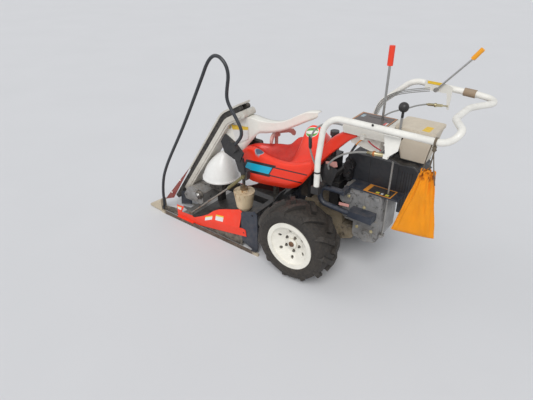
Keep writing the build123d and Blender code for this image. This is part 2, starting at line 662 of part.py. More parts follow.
def dome_cover():
    """White bell cover leaning back parallel to the case."""
    table = [(0, 0, 1.0), (64, -10, 0.82), (124, -24, 0.5), (164, -34, 0.19)]  # height, shift in X, share of radius
    rings = [Plane.XY.offset(DOME_Z + up) * Pos(DOME_X + shift, DOME_Y) * Circle(share * DOME_R)
             for up, shift, share in table]
    return loft(rings, ruled=True)


def knotter_bonnet():
    """White knotter cover on the case's back, with its long guide arm sweeping back to the right."""
    low, high = case_point(520, CASE_DEPTH), case_point(596, CASE_DEPTH)
    crown = (429, 668)
    heel = (356, 664)
    front = side_plate([high, low, (454, 466), (341, 598), heel, crown], BONNET_Y - 5, BONNET_Y)
    roof = side_plate([high, (high[0], high[1] - 4), (crown[0], crown[1] - 4), (heel[0], heel[1] - 4), heel, crown],
                      BONNET_Y - 60, BONNET_Y - 5)
    table = [  # x, y, low z, high z
        (352, 84, 598, 664), (272, 38, 600, 656), (194, -12, 628, 686), (142, -40, 664, 714), (104, -66, 684, 706)]
    arm = front + roof
    for (x0, y0, low0, high0), (x1, y1, low1, high1) in zip(table, table[1:]):
        ends = []
        for x, y, z0, z1 in ((x0, y0, low0, high0), (x1, y1, low1, high1)):
            outline = [(y, z0), (y + 4, z0), (y + 4, z1), (y - 34, z1), (y - 34, z1 - 4), (y, z1 - 4)]
            ends.append(cross_plane(x) * make_face(Polyline(*outline, close=True)))
        arm += loft(ends, ruled=True)
    return arm - case_layer(0, CASE_DEPTH, 0, CASE_Y0, CASE_Y1, CASE_TIP_R, -CASE_STEP)


def knotter():
    """Black knotter casting on the case's back, inside the bonnet, with its lower plate."""
    body = rounded_plate([case_point(470, CASE_DEPTH), case_point(560, CASE_DEPTH), (430, 598), (408, 584), (408, 452),
                          (470, 440)], [0, 0, 10, 10, 16, 20], 20, KNOTTER_Y1)
    plate = rounded_plate([(412, 538), (358, 538), (354, 500), (384, 462), (412, 452)], [0, 12, 12, 12, 0],
                          KNOTTER_Y1 - 44, KNOTTER_Y1 - 20)
    shaft = bar((520, 20, 520), (520, -6, 520), 16) + bar((452, 20, 500), (452, 4, 500), 22)
    return body + plate + shaft


def discharge_rotor():
    """Faded red discharge arms with drooping leaf tips on their upright shaft."""
    rotor = bar((0, 0, -20), (0, 0, 12), 20) + bar((0, 0, -196), (0, 0, -20), ROTOR_SHAFT_R)
    r = ROTOR_REACH
    leaf = [(0, -8), (0, 10), (0.62 * r, 11), (0.9 * r, 6), (r, -8), (0.99 * r, -22), (0.92 * r, -28),
            (0.82 * r, -24), (0.72 * r, -12), (0.6 * r, -8)]
    arm = side_plate(leaf, -ARM_T / 2, ARM_T / 2)
    for i in range(ROTOR_ARMS):
        rotor += Rot(0, 0, ROTOR_PHASE + i * 360 / ROTOR_ARMS) * arm
    return Pos(ROTOR_X, ROTOR_Y, ROTOR_Z) * rotor


def rotor_bearing():
    """Bearing post of the discharge arms on the cross tube."""
    z1 = ROTOR_Z - 108
    post = bar((ROTOR_X, ROTOR_Y, CROSS_Z1), (ROTOR_X, ROTOR_Y, z1), (CROSS_X1 - CROSS_X0) / 2)
    return post - bar((ROTOR_X, ROTOR_Y, ROTOR_Z - 200), (ROTOR_X, ROTOR_Y, z1 + 1), ROTOR_SHAFT_R + RUN_GAP)


def runner(side):
    """Cream skid along the floor with a pointed crop nose."""
    y1 = RUNNER_Y + RUNNER_W / 2
    rail = box(RUNNER_X0, RUNNER_X1, y1 - RUNNER_W, y1, 0, RUNNER_H)
    big = cross_plane(RUNNER_X1) * Pos(y1 - NOSE_W / 2, NOSE_H / 2) * RectangleRounded(NOSE_W, NOSE_H, 12)
    small = cross_plane(TIP_X) * Pos(y1 - NOSE_W / 2 + 8, 12) * RectangleRounded(12, 14, 4)
    return sided(rail + loft([big, small]), side)


GUARD_Y1 = RUNNER_Y - RUNNER_W / 2 - GUARD_GAP
END_PLATE_Y0 = GUARD_Y1 - SHEET - END_PLATE_T


def side_guard(side):
    """Red side sheet: an upright band on the runner, folded inwards along a line to a leaning leaf."""
    def fold(x):
        return FOLD_Z + (FOLD_X - x) * FOLD_SLOPE

    front, rear, end = 833, 362, 316
    band = side_plate([(front, RUNNER_H), (front, 90), (774, 94), (800, 52), (716, 58), (FOLD_X, FOLD_Z),
                       (rear, fold(rear)), (end + 24, fold(rear) + 4), (end + 4, fold(rear)), (end, 80), (656, 16),
                       (670, RUNNER_H)], GUARD_Y1 - SHEET, GUARD_Y1)
    hole = bar((BAND_HOLE_X, GUARD_Y1 - 2 * SHEET, BAND_HOLE_Z), (BAND_HOLE_X, GUARD_Y1 + 1, BAND_HOLE_Z), BAND_HOLE_R)
    leaf = [(FOLD_X, FOLD_Z), (655, 72), (598, 104), (561, 136), (524, 158), (480, 174), (382, 206),
            (rear + 3, 202), (rear, 190), (rear, fold(rear))]
    lean = tan(radians(LEAF_LEAN))
    corners = [(x, GUARD_Y1 - lean * (z - fold(x)), z) for x, z in leaf]
    wing = extrude(make_face(Polyline(*corners, close=True)), amount=SHEET, dir=(0, -1, 0))
    foot = box(702, 830, GUARD_Y1 - SHEET, RUNNER_Y, RUNNER_H, RUNNER_H + SHEET)
    return sided(band - hole + wing + foot, side)


def end_plate(side):
    """Black upright plate at the rear end of the runner, with its tie-down hole."""
    y0 = END_PLATE_Y0
    outline = [(348, 46), (348, 214), (330, 226), (262, 250), (244, 236), (244, RUNNER_H), (280, RUNNER_H)]
    plate = rounded_plate(outline, [0, 8, 8, 8, 8, 0, 0], y0, y0 + END_PLATE_T)
    hole = bar((LASHING_X, y0 - 1, LASHING_Z), (LASHING_X, y0 + END_PLATE_T + 1, LASHING_Z), LASHING_R)
    foot = box(246, 278, y0, RUNNER_Y, RUNNER_H, RUNNER_H + SHEET)
    return sided(plate - hole + foot, side)


def crop_table():
    """Black sheet from the cutter bed back and up to the cross tube, between the end plates."""
    z0, z1 = BED_Z1 - TABLE_T, 120.0
    sheet = side_plate([(BED_X0, z0), (BED_X0, z0 + TABLE_T), (CROSS_X0, z1 + TABLE_T), (CROSS_X0, z1)],
                       -END_PLATE_Y0, END_PLATE_Y0)
    return sheet - box(688, BED_X0 + 1, SPINE_Y0 - 1, SPINE_Y1 + 1, BED_Z0, SPINE_Z0)


def main_frame():
    """Steel backbone from the transmission to the cutter bed, with its cross tube and canister shelf."""
    spine = box(CASE_FRONT_X, 724, SPINE_Y0, SPINE_Y1, SPINE_Z0, SPINE_Z1)
    drop = box(690, BED_X0, SPINE_Y0, SPINE_Y1, BED_Z0, SPINE_Z0)
    end_y = END_PLATE_Y0
    cross = box(CROSS_X0, CROSS_X1, -end_y, end_y, CROSS_Z0, CROSS_Z1)
    shelf = box(CROSS_X1, CANISTER_X + 30, CANISTER_Y - 40, CANISTER_Y + 40, CROSS_Z1 - 6, CROSS_Z1)
    return spine + drop + cross + shelf


def cutter_bar():
    """Knife bed between the side guards with its pointed fingers."""
    half = GUARD_Y1 - SHEET
    bed = box(BED_X0, BED_X1, -half, half, BED_Z0, BED_Z1)
    for i in range(8):
        y = -178 + i * 50
        finger = [(BED_X1 - 2, y - 10), (BED_X1 - 2, y + 10), (BED_X1 + 56, y + 2), (BED_X1 + 56, y - 2)]
        bed += level_plate(finger, BED_Z0 + 2, BED_Z1 - 4)
    return bed


def crop_deflector():
    """Thin red sheet from the left nose up to the pickup case's front edge."""
    nose_y = RUNNER_Y + RUNNER_W / 2 - NOSE_W
    corners = [(826, CASE_Y1 + 2, 276), (RUNNER_X1 + 1, nose_y - FIT_GAP, 74), (880, nose_y, 108)]
    return extrude(make_face(Polyline(*corners, close=True)), amount=2.5)


def guard_rod():
    """Black crop rod from the left nose, over the top and down to its bracket."""
    table = [  # x, z, bend radius
        (RUNNER_X1 - ROD_R - 0.5, 28, 0), (941, 172, 60), (899, 292, 120), (474, 982, 32), (386, 932, 26),
        (408, 785, 50), (317, 654, 26), (384, 566, 0)]
    points = [(x, ROD_Y, z) for x, z, _ in table]
    radii = [row[2] for row in table[1:-1]]
    clip = box(RUNNER_X1 - 14, RUNNER_X1, ROD_Y, ROD_Y + 9, 28, 38)
    return tube(points, radii, ROD_R) + clip


def rod_bracket():
    """Black clamp block of the crop rod, its foot against the canister's pivot block."""
    y1 = ROD_Y - ROD_R - FIT_GAP
    block = side_plate([(440, 613), (468, 572), (447, 519), (392, 500), (352, 492), (332, 540), (374, 578)],
                       y1 - 13, y1)
    clamp = side_plate([(404, 592), (424, 556), (384, 532), (352, 560), (372, 592)], y1, ROD_Y + ROD_R + 2)
    foot = side_plate([(392, 510), (340, 510), (328, 440), (350, 428), (366, 440)], POST_Y0, POST_Y1)
    return block + (clamp - guard_rod()) + foot


CANISTER_X, CANISTER_Y = 380.0, 160.0
CANISTER_R = 55.0
PIVOT_X = 346.0


def canister():
    """Cream canister on its shelf, with its neck and the pipe up to the pivot block."""
    z0 = CROSS_Z1
    foot = Pos(CANISTER_X, CANISTER_Y, z0 + 8) * Cone(0.62 * CANISTER_R, 0.76 * CANISTER_R, 16)
    body = Pos(CANISTER_X, CANISTER_Y, z0 + 16 + 43) * Cone(0.76 * CANISTER_R, CANISTER_R, 86)
    neck = Pos(CANISTER_X, CANISTER_Y, z0 + 102 + 12) * Cylinder(20, 24)
    bend = tube([(CANISTER_X, CANISTER_Y, z0 + 122), (CANISTER_X, CANISTER_Y, z0 + 176),
                 (PIVOT_X, CANISTER_Y + 26, 400), (PIVOT_X, CANISTER_Y + 26, 436)], [26, 22], 8)
    block = rounded_plate([(PIVOT_X - 20, 390), (PIVOT_X + 18, 396), (PIVOT_X + 24, 446), (PIVOT_X - 22, 446)],
                          [8, 8, 8, 8], CANISTER_Y + 14, POST_Y0)
    return foot + body + neck + bend + block


def stay_rod():
    """Diagonal rod with its sleeve, from the bracket's post down to the cutter bed."""
    y = POST_Y0 + 9
    eye = bar((PIVOT_X, POST_Y0, 410), (PIVOT_X, y + 4, 410), 10)
    sleeve = bar((PIVOT_X, y, 410), (444, y, 316), 8)
    rod = bar((444, y, 316), (BED_X0 + 20, y, BED_Z1 + 4), 4.5)
    foot = box(BED_X0 + 8, BED_X0 + 34, y - 8, y + 8, BED_Z1, BED_Z1 + 10)
    return eye + sleeve + rod + foot


def mudguard():
    """Black curved guard ahead of the left wheel, with its tab on the cross tube."""
    y0, y1 = 66, HOOD_Y - HOOD_WALL - 2
    inner = TYRE_R + 18
    hoop = bar((0, y0, AXLE_Z), (0, y1, AXLE_Z), inner + 5) - bar((0, y0 - 1, AXLE_Z), (0, y1 + 1, AXLE_Z), inner)
    keep = side_plate([(0, AXLE_Z - 20), (260, AXLE_Z - 20), (260, AXLE_Z + 260), (126, AXLE_Z + 260)], y0, y1)
    tab = box(inner, CROSS_X0, y0 + 24, y0 + 56, AXLE_Z - 20, AXLE_Z - 14)
    return (hoop & keep) + tab


HOOD_TABLE = [  # x, skirt foot, crease, dish, ridge y, ridge z, far side y, far crease, far foot
    (418, 446, 492, 498, 90, 506, 78, 500, 470),
    (356, 368, 536, 532, 80, 544, 60, 536, 480),
    (268, 370, 517, 504, 10, 540, -10, 536, 490),
    (196, 380, 508, 508, -30, 544, -70, 542, 480),
    (150, 387, 514, 524, -14, 602, -100, 560, 478),
    (112, 394, 522, 548, 0, 650, -130, 560, 476),
    (46, 440, 542, 584, 0, 662, -136, 560, 476),
    (-6, 510, 566, 590, 40, 616, -100, 560, 510)]


def hood():
    """Red hood: side skirt, dished deck and the ridge at its rear, open below."""
    def shell(t):
        faces = []
        last = len(HOOD_TABLE) - 1
        for i, (x, foot, crease, dish, ridge_y, ridge_z, far_y, far_z, far_foot) in enumerate(HOOD_TABLE):
            station = x - 2 * t if i == 0 else x - t if i == last else x
            down = 6 * t
            outline = [(HOOD_Y - t, foot - down), (HOOD_Y - t, crease - t), (100, dish - t), (ridge_y, ridge_z - t),
                       (far_y + t, far_z - t), (far_y + t, far_foot - down)]
            faces.append(cross_plane(station) * make_face(Polyline(*outline, close=True)))
        return loft(faces, ruled=True)

    return shell(0) - shell(HOOD_WALL)


def hood_neck():
    """Red arm from the hood's rear up to the panel."""
    outline = [(-6, 566), (-6, 512), (-54, 586), (-105, 643), (-144, 676), (-144, PANEL_BOTTOM), (-120, 722),
               (-78, 680), (-36, 612)]
    return side_plate(outline, 92, HOOD_Y)


def bag():
    """Orange drawstring bag hanging beside the handle."""
    table = [(430, -508, 150, 44, 16), (560, -508, 134, 50, 20), (700, -514, 48, 28, 11)]  # z, x, length, width, corner
    faces = [Plane.XY.offset(z) * Pos(x, HANDLE_Y - 8) * RectangleRounded(length, width, corner)
             for z, x, length, width, corner in table]
    return loft(faces)


def bag_string():
    """Drawstring from the bag's neck up to its band round the handle."""
    band = bar((-522, HANDLE_Y, SIDE_Z), (-530, HANDLE_Y, SIDE_Z), TUBE_R + 3)
    band -= bar((-515, HANDLE_Y, SIDE_Z), (-537, HANDLE_Y, SIDE_Z), TUBE_R + FIT_GAP)
    drop = bar((-518, HANDLE_Y - 8, 700.2), (-526, HANDLE_Y - 6, SIDE_Z - TUBE_R - 2.5), 2.5)
    return band + drop


NODES = {
    "transmission_case": transmission_case(),
    "body_frame": body_frame(),
    "main_frame": main_frame(),
    "handle_mount": handle_mount(),
    "engine_block": engine_block(),
    "engine_cowl": engine_cowl(),
    "deck_plate": deck_plate(),
    "air_cleaner": air_cleaner(),
    "recoil_starter": recoil_starter(),
    "muffler": muffler(),
    "engine_cradle": engine_cradle(),
    "belt_cover": belt_cover(),
    "fuel_tank": fuel_tank(),
    "hood": hood(),
    "hood_neck": hood_neck(),
    "handle_loop": handle_loop(),
    "handle_gusset": handle_gusset(),
    "clutch_cable": cable(CLUTCH_ROUTE),
    "throttle_cable": cable(THROTTLE_ROUTE),
    "grip": grip(),
    "control_panel": control_panel(),
    "panel_plate": panel_plate(),
    "main_lever": main_lever(),
    "speed_lever": speed_lever(),
    "knob_lever": knob_lever(),
    "shift_rod": shift_rod(),
    "twine_bin": twine_bin(),
    "twine_bin_lid": twine_bin_lid(),
    "bin_tray": bin_tray(),
    "bag": bag(),
    "bag_string": bag_string(),
    "pickup_case": pickup_case(),
    "lug_belt": lug_belt(),
    "pickup_drive": pickup_drive(),
    "packer_case": packer_case(),
    "dome_cover": dome_cover(),
    "knotter_bonnet": knotter_bonnet(),
    "knotter": knotter(),
    "discharge_rotor": discharge_rotor(),
    "rotor_bearing": rotor_bearing(),
    "cutter_bar": cutter_bar(),
    "crop_table": crop_table(),
    "crop_deflector": crop_deflector(),
    "guard_rod": guard_rod(),
    "rod_bracket": rod_bracket(),
    "stay_rod": stay_rod(),
    "canister": canister(),
    "mudguard": mudguard(),
}
for word, side in (("left", LEFT), ("right", RIGHT)):
    NODES[f"tyre_{word}"] = on_axle(TYRE, side)
    NODES[f"rim_{word}"] = on_axle(rim_blank(), side)
    NODES[f"hub_{word}"] = on_axle(hub_blank(), side)
    NODES[f"runner_{word}"] = runner(side)
    NODES[f"side_guard_{word}"] = side_guard(side)
    NODES[f"end_plate_{word}"] = end_plate(side)

REAR_X = NODES["handle_loop"].bounding_box().min.X
MIDDLE_X = (TIP_X + REAR_X) / 2

os.makedirs("parts", exist_ok=True)
for name, solid in NODES.items():
    placed = Pos(-MIDDLE_X, 0, 0) * solid
    placed.label = name
    export_step(placed, f"parts/{name}.step")
print("origin is", round(MIDDLE_X, 2), "mm ahead of the axle; axle height", round(AXLE_Z, 2))
for route in (CLUTCH_ROUTE, THROTTLE_ROUTE):
    print("cable radii", [round(r) for r in cable_radii(route)], "length", round(cable(route).volume / CABLE_R ** 2 / pi))
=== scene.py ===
"""Looks of a one-row walk-behind reaper binder, dressed around its solids.

Positions are millimetres in the machine's own frame: X forward from the axle, Y left from the
middle plane, Z up from the floor. place() turns them into the scene's metres. Inside a finish,
positions and pattern sizes are metres in that same frame.
"""

import bmesh
import bpy
import numpy as np
from mathutils import Matrix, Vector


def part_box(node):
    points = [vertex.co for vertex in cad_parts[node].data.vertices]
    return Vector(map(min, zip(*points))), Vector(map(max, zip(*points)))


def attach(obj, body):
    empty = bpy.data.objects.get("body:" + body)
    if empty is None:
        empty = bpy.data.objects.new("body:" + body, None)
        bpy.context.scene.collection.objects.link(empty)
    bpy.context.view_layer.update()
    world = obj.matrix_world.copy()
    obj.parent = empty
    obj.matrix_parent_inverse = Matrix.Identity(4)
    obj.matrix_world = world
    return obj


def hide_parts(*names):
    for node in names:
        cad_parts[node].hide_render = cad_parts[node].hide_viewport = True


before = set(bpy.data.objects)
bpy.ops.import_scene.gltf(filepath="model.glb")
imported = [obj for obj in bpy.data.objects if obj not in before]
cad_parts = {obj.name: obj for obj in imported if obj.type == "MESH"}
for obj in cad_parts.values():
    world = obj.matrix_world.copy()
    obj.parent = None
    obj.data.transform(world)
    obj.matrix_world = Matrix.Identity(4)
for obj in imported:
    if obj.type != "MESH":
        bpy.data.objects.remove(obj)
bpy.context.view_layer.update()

MACHINE = "machine"
rim_low, rim_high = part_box("rim_left")
AXLE_X = (rim_low[0] + rim_high[0]) / 2  # metres, in the scene
AXLE_Z = (rim_low[2] + rim_high[2]) / 2 * 1000  # millimetres, above the floor


def place(points):
    """Machine millimetres as scene metres."""
    moved = np.array(points, float) / 1000
    moved[..., 0] += AXLE_X
    return moved


def unit(vector):
    """The same direction at length 1."""
    vector = np.array(vector, float)
    return vector / np.linalg.norm(vector)


# Camera and lamps

PHOTO_WIDTH, FOCAL_PX, SENSOR = 533, 442.01, 36.0
NEAREST, FARTHEST = 0.05, 60
CAMERA_AT = (-902.7, 1664.7, 1413.0)
CAMERA_FORWARD = np.array((0.51945, -0.68600, -0.50948))
CAMERA_RIGHT = np.array((-0.79898, -0.60133, -0.00494))
LAMPS = (  # name, place in metres, spread in radians, strength
    ("key", (-1.2, 2.4, 3.0), 0.6, 1.9),
    ("fill", (2.6, 1.4, 1.6), 0.9, 0.35))


def stand(name, data, right, back, at):
    """Links a camera or lamp with its right and back directions, at a place in metres."""
    made = bpy.data.objects.new(name, data)
    bpy.context.collection.objects.link(made)
    world = np.eye(4)
    world[:3] = np.column_stack((right, np.cross(back, right), back, at))
    made.matrix_world = Matrix(world.tolist())
    return made


def add_camera():
    """Pinhole camera at the photograph's place, its right direction squared up to its back."""
    data = bpy.data.cameras.new("camera")
    data.sensor_width = SENSOR
    data.lens = FOCAL_PX / PHOTO_WIDTH * SENSOR
    data.clip_start, data.clip_end = NEAREST, FARTHEST
    back = -unit(CAMERA_FORWARD)
    right = unit(CAMERA_RIGHT - back * CAMERA_RIGHT.dot(back))
    bpy.context.scene.camera = stand("camera", data, right, back, place(CAMERA_AT))


def add_lamps():
    """Broad soft suns, each of which shines from its place towards the origin."""
    for name, at, spread, strength in LAMPS:
        data = bpy.data.lights.new(name, "SUN")
        data.angle, data.energy = spread, strength
        back = unit(at)
        stand(name, data, unit(np.cross((0, 0, 1), back)), back, at)


# Material nodes

DUST = (0.36, 0.31, 0.25)
RUST = (0.20, 0.085, 0.035)
BLACK = (0.012, 0.012, 0.014)
FULL_TURN = 6.283  # radians


class Finish:
    """A material whose colour, roughness and relief are built up in layers on Object coordinates.

    Colour and roughness are plain values until a layer covers them, and node sockets from then on,
    so what stays the same all over is set on the shader itself. A Mix node takes plain numbers at its
    inputs 2 and 3, and colours at 6 and 7.
    """

    def __init__(self, name, colour, rough=0.5, metal=0.0, coat=0.0):
        self.material = bpy.data.materials.new(name)
        self.material.use_nodes = True
        self.tree = self.material.node_tree
        self.shader = self.tree.nodes["Principled BSDF"]
        self.feed(self.shader.inputs["Metallic"], metal)
        self.feed(self.shader.inputs["Coat Weight"], coat)
        coordinates = self.tree.nodes.new("ShaderNodeTexCoord")
        self.coords, self.own_uv = coordinates.outputs["Object"], coordinates.outputs["UV"]
        self.colour, self.rough, self.height = colour, rough, None

    def feed(self, entry, value):
        """Links a socket to an input, or sets the input to a plain value."""
        if isinstance(value, bpy.types.NodeSocket):
            self.tree.links.new(value, entry)
        elif entry.type == "RGBA":
            entry.default_value = (*value, 1)
        else:
            entry.default_value = value

    def node(self, kind, inputs, **settings):
        """A new node with its settings, its inputs given by number or by name."""
        made = self.tree.nodes.new(kind)
        for key, value in settings.items():
            setattr(made, key, value)
        for key, value in inputs.items():
            self.feed(made.inputs[key], value)
        return made

    def maths(self, operation, a, b=0.0, clamp=False):
        """One sum on two values, held between 0 and 1 where clamp is set."""
        return self.node("ShaderNodeMath", {0: a, 1: b}, operation=operation, use_clamp=clamp).outputs[0]

    def mix(self, share, a, b):
        """a where share is 0 and b where it is 1, for plain numbers."""
        return self.node("ShaderNodeMix", {0: share, 2: a, 3: b}).outputs[0]

    def ramp(self, value, low, high):
        """0 below low, 1 above high, straight between, and the other way where low is the larger."""
        made = self.node("ShaderNodeMapRange", {"Value": value, "From Min": low, "From Max": high})
        return made.outputs["Result"]

    def noise(self, scale, detail=4.0, rough=0.6, stretch=(1, 1, 1), seed=0.0):
        """Cloud of a number of features in each metre, moved to a place of its own by its seed."""
        spot = self.node("ShaderNodeMapping", {"Vector": self.coords, "Scale": stretch,
                                               "Location": (seed, 2 * seed, 3 * seed)}).outputs[0]
        made = self.node("ShaderNodeTexNoise", {"Vector": spot, "Scale": scale, "Detail": detail,
                                                "Roughness": rough})
        return made.outputs["Fac"]

    def axis(self, letter):
        """Position along X, Y or Z, with X counted from the axle."""
        value = self.node("ShaderNodeSeparateXYZ", {0: self.coords}).outputs[letter]
        return self.maths("SUBTRACT", value, AXLE_X) if letter == "X" else value

    def facing(self, letter):
        """How much the surface faces along +X, +Y or +Z."""
        normal = self.tree.nodes.new("ShaderNodeNewGeometry").outputs["Normal"]
        return self.node("ShaderNodeSeparateXYZ", {0: normal}).outputs[letter]

    def own_map(self):
        """The two directions of the piece's own UV map."""
        parts = self.node("ShaderNodeSeparateXYZ", {0: self.own_uv})
        return parts.outputs["X"], parts.outputs["Y"]

    def wave(self, value, pitch):
        """Sine of a position, one wave in each pitch."""
        return self.maths("SINE", self.maths("MULTIPLY", value, FULL_TURN / pitch))

    def both(self, first, *others):
        """Where all the masks meet: their product."""
        for other in others:
            first = self.maths("MULTIPLY", first, other)
        return first

    def outside(self, mask):
        """Where a mask isn't."""
        return self.maths("SUBTRACT", 1.0, mask)

    def between(self, value, low, high, soft=0.0006):
        """1 where a value lies between low and high, with soft edges."""
        return self.both(self.ramp(value, low - soft, low + soft), self.ramp(value, high + soft, high - soft))

    def block(self, across, reach, up, rise, soft=0.0006):
        """1 inside a rectangle on two position values, given as (low, high) pairs."""
        return self.both(self.between(across, *reach, soft), self.between(up, *rise, soft))

    def oval(self, across, up, middle, half, turn=0.0):
        """1 inside an oval on two position values, about its middle, with half sizes, turned in radians."""
        c, s = np.cos(turn), np.sin(turn)
        u, v = self.maths("SUBTRACT", across, middle[0]), self.maths("SUBTRACT", up, middle[1])
        squares = []
        for share_u, share_v, size in ((c, s, half[0]), (-s, c, half[1])):
            part_u = self.maths("MULTIPLY", u, share_u / size)
            part = self.maths("ADD", part_u, self.maths("MULTIPLY", v, share_v / size))
            squares.append(self.maths("MULTIPLY", part, part))
        return self.ramp(self.maths("ADD", *squares), 1.06, 0.94)

    def metal_where(self, mask):
        """Bare metal inside the mask and none outside."""
        self.feed(self.shader.inputs["Metallic"], mask)
        return self

    def paint(self, mask, colour, rough=None):
        """Lays another colour over the mask, and another roughness with it."""
        layer = self.node("ShaderNodeMix", {0: mask, 6: self.colour, 7: colour}, data_type="RGBA")
        self.colour = layer.outputs[2]
        if rough is not None:
            self.rough = self.mix(mask, self.rough, rough)
        return self

    def mottle(self, scale, dark, light, amount=0.5, seed=0.0):
        """Broad cloudy change of tone between a dark and a light factor of the colour."""
        shade = self.mix(self.ramp(self.noise(scale, 5, 0.6, seed=seed), 0.32, 0.68), dark, light)
        toned = self.node("ShaderNodeVectorMath", {0: self.colour, "Scale": shade}, operation="SCALE")
        return self.paint(amount, toned.outputs[0])

    def dust(self, amount, colour=DUST, top=0.55, low=0.0, scale=38.0, seed=1.0):
        """Dust on what faces up, more of it lower down, broken by fine noise."""
        share = self.maths("ADD", self.both(self.ramp(self.facing("Z"), -0.1, 1.0), top), 0.25)
        if low:
            share = self.maths("ADD", share, self.both(self.ramp(self.axis("Z"), 0.35, 0.0), low))
        patch = self.ramp(self.noise(scale, 7, 0.72, seed=seed), 0.36, 0.66)
        return self.paint(self.maths("MULTIPLY", self.both(share, patch), amount, True), colour, 0.85)

    def chips(self, amount, colour, scale=130.0, seed=2.0, rough=0.7):
        """Small sharp chips and scratches through the surface, in loose clusters."""
        edge = 0.74 - 0.14 * amount
        spots = self.ramp(self.noise(scale, 8, 0.75, seed=seed), edge, edge + 0.03)
        clusters = self.ramp(self.noise(scale / 9, 3, 0.5, seed=seed + 3), 0.42, 0.6)
        return self.paint(self.both(spots, clusters), colour, rough)

    def grain(self, scale, strength, seed=5.0):
        """Fine relief from noise."""
        layer = self.both(self.noise(scale, 6, 0.65, seed=seed), strength)
        self.height = layer if self.height is None else self.maths("ADD", self.height, layer)
        return self

    def done(self, relief=0.3, distance=0.002):
        """Feeds the layers to the shader and gives back the material."""
        self.feed(self.shader.inputs["Base Color"], self.colour)
        self.feed(self.shader.inputs["Roughness"], self.rough)
        if self.height is not None:
            bump = self.node("ShaderNodeBump", {"Height": self.height, "Strength": relief,
                                                "Distance": distance})
            self.feed(self.shader.inputs["Normal"], bump.outputs["Normal"])
        return self.material


# Kinds of finish

def painted(name, colour, rough=0.42, dirt=0.5, chip=0.5, under=RUST, coat=0.15, low=0.5):
    """Enamel on sheet steel: slight clouding, dust where it faces up, chips down to rust."""
    made = Finish(name, colour, rough, coat=coat).mottle(9, 0.82, 1.1, 0.6)
    made.dust(dirt, low=low).chips(chip, under)
    return made.grain(300, 0.3).grain(14, 0.5).done(0.25, 0.0015)


def moulded(name, colour, rough=0.5, dirt=0.35, coat=0.1):
    """Moulded plastic: fine texture, faint clouding and dust."""
    made = Finish(name, colour, rough, coat=coat).mottle(7, 0.88, 1.06, 0.6, seed=4).dust(dirt, low=0.2)
    return made.grain(900, 0.25).grain(25, 0.2).done(0.2, 0.001)


def cast(name, colour, rough=0.6, metal=0.6, dirt=0.8):
    """Cast alloy: granular skin, oil stains and dust."""
    made = Finish(name, colour, rough, metal).mottle(16, 0.6, 1.15, 0.8, seed=7).dust(dirt, low=0.6, scale=60)
    made.paint(made.ramp(made.noise(22, 6, 0.7, seed=9), 0.56, 0.68), (0.035, 0.03, 0.025), 0.45)
    return made.grain(420, 0.6).grain(60, 0.5).done(0.5, 0.0015)


def steel(name, colour, rough=0.4, rust=0.4, dirt=0.3):
    """Bare worn steel with rust bloom."""
    made = Finish(name, colour, rough, 0.9).mottle(20, 0.7, 1.1, 0.7, seed=3)
    made.paint(made.ramp(made.noise(45, 7, 0.7, seed=8), 0.64 - 0.2 * rust, 0.74), RUST, 0.8).dust(dirt)
    return made.grain(200, 0.5).done(0.3, 0.001)


def woven(name, colour, thread=0.0011, mouth=None):
    """Coarse woven cloth: crossing threads, uneven dye and soil, and deep shade in the mouth's gathers."""
    made = Finish(name, colour, 0.85).mottle(7, 0.84, 1.06, 0.8, seed=11)
    z = made.axis("Z")
    threads = made.maths("ADD", made.wave(made.axis("X"), thread), made.wave(z, thread))
    made.height = made.both(threads, 0.35)
    made.dust(0.1, (0.34, 0.24, 0.10), top=0.5, scale=20)
    if mouth:
        gathers = made.ramp(made.noise(75, 3, 0.5, (1, 1, 0.6), 6), 0.50, 0.58)
        made.paint(made.both(gathers, made.between(z, *mouth, 0.008)), (0.34, 0.075, 0.0))
    return made.grain(120, 0.6).done(0.5, 0.0012)


def lever_finish(name, grip, grip_z, dark_z=None, plate_y=None):
    """Bright steel rod: grip coloured above grip_z, dark below dark_z, plate white right of plate_y."""
    made = Finish(name, (0.46, 0.46, 0.45), 0.3).mottle(30, 0.7, 1.1, 0.6)
    z = made.axis("Z")
    bare = made.ramp(z, grip_z, grip_z - 0.001)
    made.paint(made.ramp(z, grip_z - 0.001, grip_z), grip, 0.42)
    if dark_z:
        made.paint(made.ramp(z, dark_z + 0.0005, dark_z - 0.0005), (0.02, 0.02, 0.022), 0.5)
    if plate_y:
        plate = made.ramp(made.axis("Y"), plate_y, plate_y - 0.0005)
        bare = made.both(bare, made.outside(plate))
        made.paint(plate, (0.76, 0.74, 0.68), 0.45)
    return made.metal_where(bare).dust(0.15).grain(300, 0.3).done(0.2, 0.0008)


def label_finish(name, field, header=None):
    """Blank sticker on its own UV map: a plain field, a header band over its first quarter, and wear."""
    made = Finish(name, field, 0.45)
    if header:
        made.paint(made.ramp(made.own_map()[1], 0.26, 0.24), header, 0.45)
    return made.mottle(60, 0.85, 1.05, 0.5).dust(0.35, scale=120).grain(400, 0.3).done(0.15, 0.0005)


# Finishes of single pieces

def tyre_rubber():
    """Dusty rubber: dried soil in the tread and streaks on the side wall."""
    made = Finish("tyre_rubber", (0.012, 0.011, 0.010), 0.6).mottle(10, 0.6, 1.5, 0.7)
    made.dust(0.8, (0.040, 0.031, 0.024), top=0.35, low=0.4, scale=22)
    made.dust(0.55, (0.16, 0.13, 0.10), top=0.2, low=0.2, scale=95, seed=6)
    made.chips(0.6, (0.12, 0.10, 0.085), 70)
    return made.grain(160, 0.8).grain(700, 0.3).done(0.6, 0.002)


